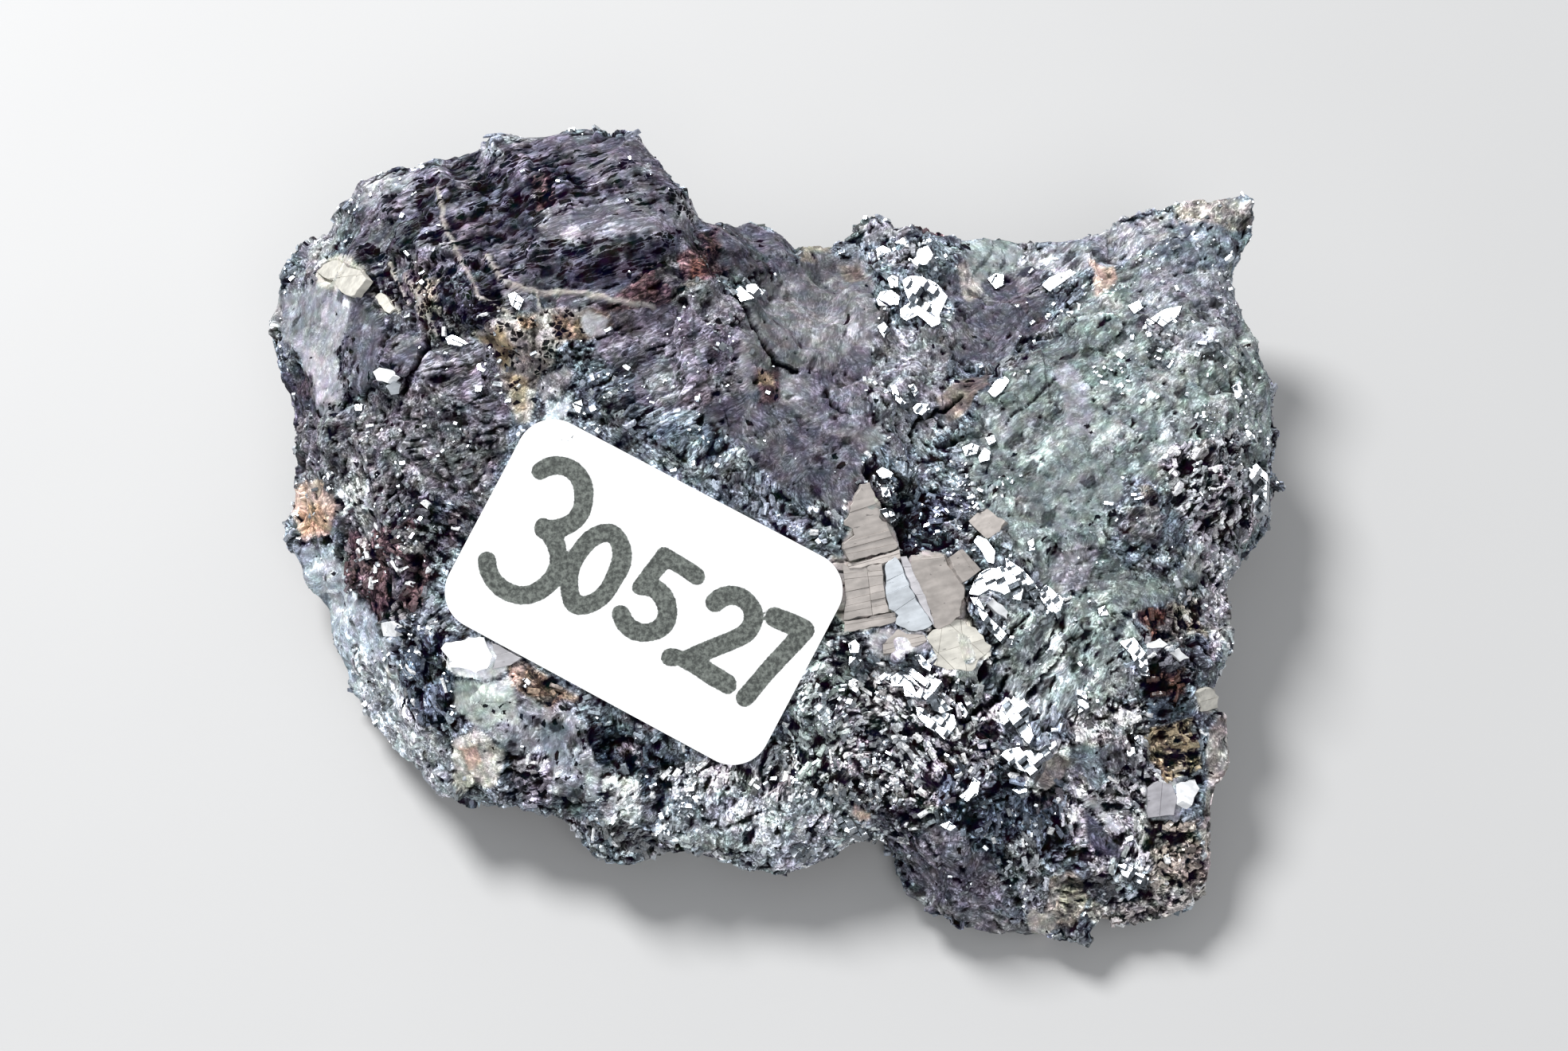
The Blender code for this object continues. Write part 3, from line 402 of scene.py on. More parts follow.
# Flat cleavage faces, each a thin slab: its outline, how far it stands over the stone in mm, its
# colour, and the lines that split it into steps
SLABS = [
    # the cleaved plates beside the label
    ([(1083, 609), (1092, 607), (1097, 620), (1106, 640), (1105, 650), (1113, 657), (1120, 672),
      (1128, 686), (1125, 690), (1105, 695), (1067, 704), (1059, 690), (1060, 683), (1072, 673),
      (1071, 664), (1061, 659), (1060, 654), (1067, 645), (1068, 636), (1073, 625)],
     0.28, "taupe", [((1060, 681), (1126, 663)), ((1060, 690), (1126, 672)),
                     ((1060, 697), (1126, 683)), ((1078, 640), (1108, 630))]),
    ([(1064, 708), (1100, 700), (1129, 690), (1131, 701), (1108, 707), (1080, 713), (1066, 715)],
     0.16, "taupe", [((1064, 712), (1130, 695))]),
    ([(1058, 708), (1064, 710), (1078, 713), (1108, 708), (1110, 740), (1116, 768), (1090, 773),
      (1060, 779), (1062, 740)], 0.16, "taupe",
     [((1046, 722), (1112, 716)), ((1046, 729), (1112, 722)), ((1050, 746), (1112, 733)),
      ((1050, 757), (1114, 741)), ((1050, 764), (1114, 750)), ((1050, 771), (1114, 759)),
      ((1088, 706), (1096, 776))]),
    ([(1058, 781), (1090, 775), (1125, 768), (1126, 780), (1112, 786), (1080, 790), (1060, 795),
      (1060, 783)], 0.06, "taupe", [((1050, 787), (1126, 774))]),
    ([(1112, 708), (1125, 700), (1130, 705), (1136, 722), (1143, 738), (1151, 752), (1161, 768),
      (1171, 785), (1160, 792), (1145, 793), (1130, 788), (1124, 783), (1127, 772), (1117, 765),
      (1112, 745)], 0.24, "icy",
     [((1110, 731), (1136, 719)), ((1112, 747), (1144, 734)), ((1122, 769), (1148, 751))]),
    ([(1131, 700), (1138, 698), (1160, 744), (1173, 782), (1172, 786), (1162, 768), (1144, 738)],
     0.30, "pale", [((1130, 712), (1150, 712)), ((1140, 748), (1170, 745))]),
    ([(1145, 698), (1165, 701), (1186, 698), (1190, 710), (1200, 722), (1210, 735), (1212, 745),
      (1207, 760), (1205, 773), (1193, 783), (1178, 791), (1173, 786), (1170, 772), (1160, 750),
      (1149, 730), (1142, 712)], 0.26, "taupe", [((1139, 706), (1192, 700))]),
    ([(1193, 700), (1208, 688), (1216, 698), (1232, 716), (1222, 724), (1209, 731), (1198, 713)],
     0.28, "taupe", [((1204, 690), (1226, 722))]),
    ([(1172, 792), (1190, 784), (1200, 777), (1208, 777), (1215, 785), (1226, 789), (1238, 805),
      (1246, 812), (1240, 820), (1230, 828), (1222, 843), (1205, 841), (1188, 841), (1172, 834),
      (1178, 825), (1170, 812), (1164, 800)], 0.16, "chalk",
     [((1164, 806), (1196, 838)), ((1188, 780), (1240, 826)), ((1170, 822), (1246, 800)),
      ((1206, 776), (1214, 846)), ((1184, 782), (1176, 836))]),
    ([(1115, 803), (1127, 789), (1140, 795), (1160, 797), (1165, 803), (1150, 812), (1130, 818),
      (1108, 821), (1108, 809)], 0.14, "taupe",
     [((1100, 811), (1170, 797)), ((1104, 818), (1170, 803))]),
    ([(1216, 655), (1226, 645), (1240, 639), (1262, 655), (1255, 668), (1241, 677), (1230, 670)],
     0.22, "taupe", []),
    ([(1239, 757), (1246, 751), (1258, 760), (1266, 768), (1264, 778), (1251, 769)],
     0.22, "white", []),
    # chips at the left edge
    ([(398, 340), (412, 329), (424, 327), (437, 335), (451, 340), (459, 350), (452, 361),
      (446, 371), (434, 371), (424, 363), (418, 351), (405, 348)], 0.36, "chalk",
     [((398, 352), (452, 345)), ((424, 327), (430, 372))]),
    ([(470, 372), (478, 367), (488, 374), (492, 382), (497, 388), (488, 394), (478, 386)],
     0.30, "chalk", []),
    ([(468, 468), (476, 461), (488, 463), (494, 472), (486, 481), (473, 478)], 0.24, "white", []),
    ([(484, 486), (493, 479), (503, 484), (501, 494), (490, 496)], 0.24, "icy", []),
    # the white block under the label, and a chip
    ([(553, 814), (560, 806), (579, 806), (587, 801), (607, 801), (611, 810), (619, 824),
      (612, 840), (597, 846), (581, 840), (565, 838), (563, 827)], 0.34, "white", []),
    ([(615, 806), (634, 815), (655, 827), (641, 836), (617, 842), (623, 824)], 0.26, "pale",
     [((620, 824), (650, 816))]),
    ([(478, 783), (490, 780), (499, 788), (496, 800), (482, 800)], 0.3, "white", []),
    # chips of the right half
    ([(1440, 990), (1453, 981), (1471, 986), (1479, 1001), (1475, 1023), (1441, 1027)],
     0.34, "ash", [((1460, 980), (1456, 1030))]),
    ([(1478, 984), (1500, 978), (1506, 990), (1496, 1012), (1484, 1006)], 0.4,
     "white", []),
    ([(1505, 870), (1521, 863), (1530, 876), (1529, 890), (1510, 895)], 0.3,
     "chalk", [((1500, 884), (1534, 874))]),
    ([(1440, 808), (1456, 802), (1466, 808), (1460, 814), (1442, 814)], 0.3,
     "white", []),
    ([(1468, 820), (1480, 814), (1494, 826), (1482, 830)], 0.3, "white", []),
]
SLAB_DEPTH, SLAB_BEVEL = 0.45 * MM, 0.014 * MM
SLAB_SINK = 0.10 * MM  # how far all of them lie lower than that
SLAB_STEP, SLAB_LEAN = 0.018 * MM, 0.014  # how much the strips of a split slab differ
SLAB_BED = 0.16 * MM  # how far the stone lies lower under a slab
BED_EDGE = 3.0  # pixels over which such a bed fades
RAGGED_STEP, RAGGED_REACH = 6.0, 1.1  # pixels between an edge's corners, and their wander

# Where the stone is eaten by small pits, sunk and painted with shade: an outline, and the share of
# it that is holes
PITTED = [
    ([(440, 300), (520, 318), (600, 308), (640, 340), (622, 424), (560, 430), (520, 398),
      (480, 388), (455, 350)], 0.42),
    ([(470, 240), (606, 190), (700, 180), (790, 200), (860, 240), (880, 280), (780, 250),
      (690, 270), (640, 310), (500, 320)], 0.54),
    ([(500, 250), (600, 220), (690, 200), (700, 250), (560, 290)], 0.70),
    ([(640, 300), (850, 290), (842, 330), (716, 362), (640, 345)], 0.72),
    ([(590, 880), (700, 880), (760, 940), (740, 1000), (640, 960)], 0.22),
    ([(424, 420), (446, 420), (450, 520), (400, 545), (396, 514), (424, 500)], 0.4),
    ([(1000, 860), (1180, 850), (1250, 900), (1240, 965), (1150, 1035), (1060, 1005),
      (985, 960)], 0.26),
    ([(1110, 596), (1196, 625), (1200, 690), (1140, 698), (1120, 650)], 0.40),
    ([(604, 425), (640, 398), (700, 388), (756, 386), (700, 434), (684, 470), (674, 520),
      (655, 526), (640, 500), (628, 458)], 0.27),
    ([(1430, 770), (1510, 765), (1510, 1000), (1430, 1000)], 0.22),
    ([(500, 790), (560, 790), (560, 905), (505, 905)], 0.22),
    ([(1490, 560), (1590, 560), (1590, 690), (1490, 680)], 0.22),
]
PIT_SIZE, PIT_SHARE = 0.58 * MM, 0.025  # the share is that of rough stone elsewhere
PIT_EDGE = 8.0  # pixels over which a pitted place fades
PIT_LONGER = 1.5  # how drawn out the pits are along the fibres
HOLE_SIZE, HOLE_SQUEEZE = 0.25 * MM, 0.75  # the finest holes, painted black as shade in the material
HOLE_WAVER = 0.10 * MM, 0.20 * MM, 0.20 * MM  # how far they stray along and across the fibres
RIB_SIZE, WAVER_SIZE, WAVER_REACH = 0.17 * MM, 0.45 * MM, 0.22 * MM  # ribs and their wander
MURK = (0.024, 0.019, 0.026)  # how strongly the darkest places are coloured

# Facets where the skin is pressed flat
FLATS = [
    [(364, 380), (372, 360), (400, 352), (440, 362), (448, 380), (444, 440), (432, 500),
     (424, 514), (400, 506), (384, 470), (368, 430)],
    [(446, 380), (460, 380), (478, 408), (474, 450), (460, 490), (442, 498), (440, 440)],
    [(486, 452), (499, 424), (518, 412), (534, 424), (536, 444), (520, 468), (508, 480)],
    [(1326, 455), (1346, 450), (1370, 500), (1362, 550), (1340, 550), (1332, 500)],
    [(728, 392), (744, 384), (764, 394), (760, 410), (738, 418), (728, 406)],
]
FLAT_EDGE = 12.0  # pixels over which the skin comes down to a facet

# Cracks: points along each, half its width in pixels, and its depth in mm
CRACKS = [
    ([(926, 360), (930, 378), (943, 404), (959, 429), (974, 456), (1000, 468)], 2.6, 0.55),
    ([(1038, 486), (1048, 508), (1066, 520)], 2.2, 0.4),
    ([(1146, 545), (1158, 524), (1188, 513), (1208, 498)], 2.6, 0.5),
    ([(1262, 530), (1300, 500), (1330, 472)], 2.2, 0.22),
    ([(540, 428), (520, 462), (505, 492)], 3.4, 0.5),
    ([(1089, 590), (1110, 628), (1128, 660), (1141, 696)], 4.5, 0.6),
    ([(1141, 696), (1150, 730), (1172, 792)], 1.8, 0.25),
    ([(1110, 704), (1116, 752), (1130, 788)], 1.8, 0.22),
    ([(1046, 708), (1080, 702), (1128, 690)], 1.8, 0.22),
    ([(1044, 720), (1084, 716), (1112, 706)], 1.6, 0.2),
    ([(1040, 738), (1086, 728), (1114, 718)], 1.6, 0.18),
    ([(1040, 770), (1090, 764), (1126, 752)], 1.8, 0.2),
    ([(1044, 784), (1096, 776), (1130, 764)], 1.8, 0.2),
    ([(1116, 722), (1134, 716)], 1.4, 0.15),
    ([(1118, 738), (1142, 728)], 1.4, 0.15),
    ([(1122, 756), (1150, 748)], 1.4, 0.15),
    ([(1189, 697), (1200, 716), (1214, 737), (1240, 716)], 2.4, 0.35),
    ([(1214, 737), (1212, 776), (1250, 812)], 2.6, 0.35),
    ([(1163, 797), (1209, 777)], 2.0, 0.25),
    ([(1232, 850), (1262, 800), (1290, 770)], 2.6, 0.4),
    ([(1290, 880), (1330, 830), (1352, 790)], 2.0, 0.3),
    ([(1210, 905), (1250, 880), (1262, 850)], 3.0, 0.45),
    ([(356, 420), (380, 412), (402, 402), (398, 388), (410, 380)], 1.2, 0.07),
    ([(402, 402), (416, 408), (426, 398), (412, 388)], 1.2, 0.06),
    ([(446, 384), (440, 420), (444, 446)], 1.2, 0.08),
    ([(484, 420), (478, 460), (458, 500)], 2.6, 0.35),
]
CRACK_WANDER = 0.4 * MM, 3.2  # grain of a crack's wander, and its pixels
CRACK_OPEN, CRACK_SHADED = 0.05 * MM, 0.3 * MM  # deep enough to keep splinters out, and to be painted fully shaded

# Thin veins that stand up from the striated block: points, half width in pixels, height in mm
VEINS = [
    ([(549, 236), (556, 273), (570, 311), (594, 353)], 2.8, 0.10),
    ([(610, 319), (631, 353), (674, 366), (720, 366), (766, 376), (820, 384)], 3.6, 0.10),
    ([(509, 345), (530, 382), (549, 420)], 3.4, 0.10),
    ([(594, 353), (600, 372), (640, 392)], 2.4, 0.08),
    ([(674, 366), (680, 392)], 2.6, 0.08),
    ([(486, 330), (500, 356), (512, 380)], 2.2, 0.08),
]
VEIN_MINERAL, VEIN_STRENGTH = "taupe", 0.9
VEIN_HABIT = np.array((0.6, 0.0, 0.15))
VEIN_WANDER, VEIN_EDGE = (0.5 * MM, 2.0), 2.4  # as for cracks, and the pixels of its soft edge

# Galena: terraces of cleavage blocks that lean so that they flash. Each has its outline and the
# edge of its blocks in mm
TERRACES = [
    ([(1133, 352), (1142, 346), (1160, 347), (1175, 355), (1190, 372), (1186, 382), (1180, 395),
      (1181, 406), (1170, 411), (1160, 402), (1152, 396), (1138, 403), (1130, 398), (1130, 388),
      (1142, 380), (1136, 366)], 0.42),
    ([(1100, 376), (1105, 366), (1120, 364), (1130, 372), (1128, 383), (1103, 384)], 0.5),
    ([(1114, 350), (1120, 345), (1128, 348), (1128, 360), (1118, 362)], 0.4),
    ([(1100, 312), (1108, 308), (1118, 312), (1122, 322), (1112, 330), (1102, 326)], 0.4),
    ([(1140, 326), (1150, 314), (1165, 308), (1172, 320), (1165, 332), (1148, 334)], 0.44),
    ([(1124, 304), (1134, 298), (1142, 304), (1136, 311)], 0.32),
    ([(1101, 410), (1110, 404), (1116, 412), (1110, 424)], 0.32),
    ([(1240, 350), (1250, 343), (1261, 345), (1260, 358), (1250, 363)], 0.4),
    ([(1308, 358), (1318, 348), (1345, 338), (1352, 342), (1335, 354), (1318, 366)], 0.34),
    ([(1240, 492), (1250, 478), (1262, 472), (1268, 478), (1258, 492), (1248, 500)], 0.42),
    ([(1146, 512), (1152, 506), (1166, 507), (1168, 514), (1158, 522), (1148, 518)], 0.36),
    ([(1140, 484), (1148, 482), (1154, 492), (1148, 498)], 0.3),
    ([(1118, 484), (1126, 484), (1130, 498), (1138, 506), (1132, 510), (1122, 500)], 0.26),
    ([(1208, 562), (1220, 556), (1230, 560), (1226, 570), (1212, 573)], 0.34),
    ([(1228, 574), (1236, 562), (1244, 566), (1242, 578), (1230, 581)], 0.3),
    ([(1237, 550), (1248, 546), (1251, 554), (1242, 559)], 0.26),
    ([(1100, 592), (1108, 586), (1122, 594), (1118, 601), (1106, 601)], 0.34),
    ([(1106, 612), (1116, 612), (1119, 624), (1108, 624)], 0.28),
    ([(1104, 640), (1118, 636), (1128, 650), (1118, 658)], 0.26),
    ([(922, 366), (930, 358), (948, 356), (962, 364), (956, 372), (930, 379)], 0.6),
    ([(559, 424), (568, 420), (578, 424), (588, 431), (578, 435), (562, 432)], 0.36),
    ([(637, 370), (646, 366), (658, 376), (652, 390), (642, 384)], 0.3),
    ([(1118, 850), (1130, 842), (1142, 846), (1150, 856), (1160, 866), (1156, 877), (1136, 874),
      (1134, 862), (1120, 862)], 0.42),
    ([(1132, 839), (1144, 837), (1168, 856), (1164, 864), (1150, 854)], 0.4),
    ([(1148, 823), (1156, 822), (1170, 836), (1168, 843), (1158, 838)], 0.4),
    ([(1158, 874), (1164, 860), (1174, 851), (1183, 856), (1172, 870), (1162, 879)], 0.42),
    ([(1164, 884), (1176, 872), (1188, 882), (1196, 890), (1182, 896), (1170, 891)], 0.4),
    ([(1150, 888), (1160, 888), (1172, 900), (1180, 892), (1198, 898), (1202, 910), (1194, 920),
      (1186, 929), (1176, 920), (1162, 912), (1152, 900)], 0.4),
    ([(1202, 882), (1208, 882), (1216, 896), (1212, 902)], 0.3),
    ([(1065, 808), (1074, 803), (1080, 810), (1078, 820), (1067, 820)], 0.44),
    ([(1066, 825), (1076, 821), (1083, 828), (1076, 837), (1066, 835)], 0.44),
    ([(1254, 896), (1262, 876), (1272, 872), (1278, 882), (1286, 877), (1293, 888), (1292, 906),
      (1298, 924), (1292, 935), (1280, 924), (1272, 912), (1262, 914), (1256, 906)], 0.5),
    ([(1256, 948), (1262, 942), (1278, 938), (1296, 936), (1302, 946), (1312, 935), (1326, 930),
      (1328, 938), (1312, 950), (1308, 964), (1298, 979), (1290, 970), (1276, 966),
      (1268, 958)], 0.52),
    ([(1290, 980), (1280, 984), (1270, 992), (1277, 998), (1290, 994)], 0.4),
    ([(1204, 1000), (1216, 990), (1222, 976), (1231, 982), (1228, 998), (1214, 1007)], 0.34),
    ([(1180, 1036), (1192, 1031), (1201, 1038), (1192, 1045)], 0.34),
    ([(1040, 1022), (1062, 1024), (1094, 1046), (1088, 1054), (1060, 1044)], 0.34),
    ([(990, 1064), (1006, 1058), (1020, 1066), (1008, 1080), (994, 1076)], 0.36),
    ([(1222, 680), (1228, 672), (1240, 678), (1250, 692), (1248, 708), (1240, 706), (1232, 692)],
     0.36),
    ([(1226, 722), (1240, 714), (1262, 710), (1278, 718), (1286, 738), (1282, 754), (1270, 752),
      (1256, 744), (1242, 740), (1228, 748), (1216, 746)], 0.44),
    ([(1218, 750), (1228, 750), (1242, 774), (1264, 796), (1256, 806), (1240, 790)], 0.34),
    ([(1300, 742), (1314, 734), (1336, 752), (1330, 774), (1316, 766)], 0.34),
    ([(1290, 680), (1298, 676), (1300, 690), (1292, 692)], 0.24),
    ([(1564, 540), (1576, 540), (1576, 552), (1566, 552)], 0.34),
    ([(1566, 588), (1578, 582), (1592, 596), (1590, 640), (1576, 648), (1572, 616)], 0.42),
    ([(1546, 486), (1556, 480), (1562, 494), (1552, 502)], 0.28),
    ([(1416, 384), (1430, 376), (1436, 386), (1424, 394)], 0.3),
    ([(1444, 400), (1462, 388), (1484, 384), (1480, 396), (1460, 410)], 0.3),
    ([(1405, 806), (1424, 800), (1440, 822), (1444, 850), (1432, 848), (1420, 822)], 0.34),
    ([(1352, 866), (1364, 868), (1368, 888), (1354, 896)], 0.34),
    ([(1414, 940), (1424, 938), (1426, 950), (1416, 950)], 0.32),
    ([(1378, 764), (1388, 760), (1392, 772), (1380, 774)], 0.32),
    ([(596, 484), (606, 484), (604, 492), (596, 492)], 0.26),
    ([(444, 508), (456, 506), (454, 516), (446, 516)], 0.26),
    ([(718, 506), (730, 502), (736, 520), (726, 524)], 0.28),
    ([(1262, 700), (1286, 716), (1306, 740), (1300, 756), (1284, 736), (1264, 714)], 0.3),
    ([(700, 548), (712, 540), (722, 548), (708, 556)], 0.26),
    ([(1403, 1086), (1422, 1082), (1430, 1096), (1444, 1100), (1438, 1118), (1412, 1106)], 0.3),
]
GLITTER = 4200  # small blocks like these, strewn over the rough places
GRAIN_SMALL, GRAIN_SPREAD = 0.10 * MM, 0.30 * MM
GRAIN_SHAPE, GRAIN_SUNK = (1.2, 0.7, 1.3), 0.4
GRAIN_TURN, GRAIN_CLUSTER = 0.2, 2.4 * MM  # how much their flash differs, and how they gather
GRAIN_RISE, GRAIN_FLOOR = 0.3, 0.5 * MM  # how far they face out of the stone, and least height
LEAST_HEIGHT = 0.02 * MM  # of a block's corners over the floor
TERRACE_TURN = math.radians(42), math.radians(14)  # how the cuts run in the view, and the spread
TERRACE_LEAN, TERRACE_JITTER = 0.02, 0.034
TERRACE_HEIGHT = 14  # mm over the floor, to find where a terrace's flash comes from
BLOCK_PROUD, BLOCK_DEPTH, BLOCK_GAP = 0.13 * MM, 0.55 * MM, 0.018 * MM
BLOCK_GAIN = 1.45  # how much larger than its terrace's number a block is cut
TERRACE_BED = 0.12 * MM  # how far the stone lies lower under the blocks
GALENA_MINERAL, GLINT_MINERAL = "icy", "white"

# The splinters of the other minerals
LATHS, LATH_GAIN = 3500, 1.45
LATH_LENGTH, LATH_WIDTH = (0.34 * MM, 0.85 * MM), (0.16 * MM, 0.36 * MM)
LATH_HIGH, LATH_SUNK = (0.14 * MM, 0.24 * MM), 0.84
LATH_TURNS = (0.22, 0.05, 0.34)  # roll, pitch and yaw
# the pale share of splinters is painted near-white: partly pale mineral, partly painted glints
PALE_GLINT_SHARE, DARK_SHARE, METAL_SHARE = 0.05, 0.08, 0.14
SPLINTER_SPARE = 0.4 * MM  # how far from the label they keep
LATH_ROUGH, LATH_FLOOR = (0.55, 0.95), 0.35 * MM  # contrast less smoothness there, and height
LATH_TAPER = (0.6, 0.35), (0.95, 0.85)  # least and most of a splinter's top against its foot
LATH_DARK, LATH_SHINE, LATH_TONES = 0.2, 0.85, (0.004, 0.85)
LATH_SPREAD = 0.34  # how much their brightness differs

# Places where the fibres keep one direction: a middle in view pixels, a reach in pixels, two
# points that the fibres run between, and how drawn out they are
FIBRES = [
    ((680, 275), 250, (560, 330), (860, 245), 5.0),
    ((690, 455), 80, (640, 400), (760, 400), 1.0),
    ((540, 370), 66, (520, 420), (560, 320), 1.2),
    ((850, 450), 110, (760, 490), (940, 410), 3.5),
    ((1310, 840), 80, (1290, 900), (1360, 770), 3.5),
    ((1440, 480), 200, (1300, 560), (1520, 380), 2.2),
    ((980, 1040), 110, (960, 1080), (985, 1000), 2.6),
    ((540, 850), 60, (530, 780), (560, 910), 3.2),
    ((1010, 410), 70, (1000, 460), (1020, 370), 2.6),
]
FIBRE_HEIGHT, FIBRE_FLOOR = 12.0, 4 * MM  # mm over the floor to read them at, and where they end
FIBRE_SPREAD = 1, 1, 0.45  # elsewhere they run any way, but seldom steeply


def mineral(name):
    """A mineral's colour as the light it sends back."""
    shares = np.array(MINERALS[name]) / 255
    return np.where(shares > 0.04045, ((shares + 0.055) / 1.055) ** 2.4, shares / 12.92)


def picked(names, draw):
    """A mineral's colour for each number from 0 to 1, all names equally likely."""
    return np.array([mineral(name) for name in names])[(draw * len(names)).astype(int)]


def unit(vectors):
    return vectors / np.maximum(np.linalg.norm(vectors, axis=-1, keepdims=True), 1e-12)


def ramp(values, low, high):
    """0 below low and 1 above high, with a smooth rise between."""
    share = np.clip((values - low) / (high - low), 0, 1)
    return share * share * (3 - 2 * share)


def rays(x, y):
    """The direction from the eye through a pixel of the view, one unit deep."""
    across = (x - VIEW_WIDTH / 2) / FOCAL_PIXELS
    upward = (VIEW_HEIGHT / 2 - y) / FOCAL_PIXELS
    return RIGHT * across + UP * upward - BACK


def placed(x, y, height_mm):
    """The point at that height over the floor which the view shows at pixel x, y."""
    ray = rays(x, y)
    return EYE + ray * ((height_mm * MM - EYE[2]) / ray[2])


def pixels_of(points):
    """Where the view shows each point."""
    toward = points - EYE
    depth = -toward @ BACK
    x = VIEW_WIDTH / 2 + toward @ RIGHT / depth * FOCAL_PIXELS
    y = VIEW_HEIGHT / 2 - toward @ UP / depth * FOCAL_PIXELS
    return np.stack((x, y), 1)


def drawn(places, seed):
    """Three numbers from 0 to 1 for each cell of space, the same at every run."""
    with np.errstate(over="ignore"):
        mixed = places.astype(np.uint64)
        mixed = (
            mixed[:, 0] * np.uint64(0x9E3779B97F4A7C15)
            ^ mixed[:, 1] * np.uint64(0xC2B2AE3D27D4EB4F)
            ^ mixed[:, 2] * np.uint64(0x165667B19E3779F9)
            ^ np.uint64(seed * 7919 + 1)
        )
        numbers = []
        for _ in range(3):
            mixed = (mixed ^ mixed >> np.uint64(29)) * np.uint64(0xBF58476D1CE4E5B9)
            mixed = mixed ^ mixed >> np.uint64(32)
            numbers.append((mixed >> np.uint64(40)).astype(float) / 2**24)
    return np.stack(numbers, 1)


def cells(points, size, seed):
    """Splits space into irregular cells. For each point: the numbers of its cell, its place in
    the cell and how far it is from the cell's border, both in units of size."""
    scaled = points / size
    home = np.floor(scaled).astype(np.int64)
    nearest = np.full(len(points), np.inf)
    second = np.full(len(points), np.inf)
    offset = np.zeros_like(scaled)
    owner = np.zeros_like(home)
    for step in np.ndindex(3, 3, 3):
        cell = home + np.array(step) - 1
        gap = scaled - cell - drawn(cell, seed)
        distance = (gap**2).sum(1)
        closer = distance < nearest
        second = np.where(closer, nearest, np.minimum(second, distance))
        nearest = np.where(closer, distance, nearest)
        offset[closer] = gap[closer]
        owner[closer] = cell[closer]
    return drawn(owner, seed + 1), offset, np.sqrt(second) - np.sqrt(nearest)


def smooth_noise(points, size, seed):
    """Noise from -1 to 1 with grains of that size."""
    scaled = points / size
    home = np.floor(scaled).astype(np.int64)
    part = scaled - home
    part = part * part * (3 - 2 * part)
    total = np.zeros(len(points))
    for corner in np.ndindex(2, 2, 2):
        weight = np.prod(np.where(corner, part, 1 - part), 1)
        total += weight * drawn(home + np.array(corner), seed)[:, 0]
    return total * 2 - 1


def fractal_noise(points, size, seed, octaves=3):
    return sum(
        smooth_noise(points, size / 2**k, seed + k) / 2**k for k in range(octaves)
    ) / (2 - 2.0 ** (1 - octaves))


def along_line(pixels, line):
    """How far each pixel lies from a line of points."""
    distance = np.full(len(pixels), np.inf)
    for start, end in zip(line, line[1:]):
        start, run = np.array(start, float), np.subtract(end, start).astype(float)
        share = np.clip((pixels - start) @ run / (run @ run), 0, 1)
        gap = pixels - start - share[:, None] * run
        distance = np.minimum(distance, np.hypot(gap[:, 0], gap[:, 1]))
    return distance


def inside(pixels, outline, softness):
    """1 inside an outline, 0 outside, with an edge that fades over the softness."""
    share = np.zeros(len(pixels))
    corners = np.array(outline, float)
    near = (pixels > corners.min(0) - softness).all(1) & (pixels < corners.max(0) + softness).all(1)
    spots = pixels[near]
    if not len(spots):
        return share
    within = np.zeros(len(spots), bool)
    for (x0, y0), (x1, y1) in zip(corners, np.roll(corners, -1, 0)):
        spans = (y0 > spots[:, 1]) != (y1 > spots[:, 1])
        crossing = x0 + (x1 - x0) * (spots[:, 1] - y0) / ((y1 - y0) or 1.0)
        within ^= spans & (spots[:, 0] < crossing)
    distance = along_line(spots, [*outline, outline[0]])
    share[near] = ramp(np.where(within, distance, -distance), -softness / 2, softness / 2)
    return share


def seen(points, normals, low=0.02, high=0.22):
    """1 where the view shows the surface, 0 where it faces away."""
    return ramp((normals * unit(EYE - points)).sum(1), low, high)


def strayed(spots, points, size, reach, seed):
    """Flat spots, shifted by noise of the points that they stand for."""
    for axis in range(2):
        spots[:, axis] += reach * smooth_noise(points, size, seed + axis)
    return spots


def wandering(points):
    """The points' pixels, astray so that borders drawn in pixels look grown."""
    pixels = pixels_of(points)
    for k, (size, reach) in enumerate(REGION_WARP):
        pixels = strayed(pixels, points, size, reach, SEED + 20 + 2 * k)
    return pixels


def holed(points, shown):
    """The share of the stone at each point that pits and holes take up."""
    pixels = pixels_of(points)
    share = np.zeros(len(points))
    for outline, most in PITTED:
        share = np.maximum(share, inside(pixels, outline, PIT_EDGE) * shown * most)
    return share


def pits(laid, longer, share):
    """1 in the pits that eat into the stone, 0 between them."""
    spots = laid.copy()
    spots[:, 0] *= np.maximum(longer / PIT_LONGER, 1)
    draw, _, border = cells(spots, PIT_SIZE, SEED + 90)
    return (draw[:, 0] < share * 0.6) * ramp(border, 0.04, 0.26)


def veined(points, line, half_width):
    """1 on a vein, 0 beside it: a line of pixels with a small wander."""
    pixels = strayed(pixels_of(points), points, *VEIN_WANDER, SEED + 74)
    return ramp(along_line(pixels, line), half_width, half_width - VEIN_EDGE)


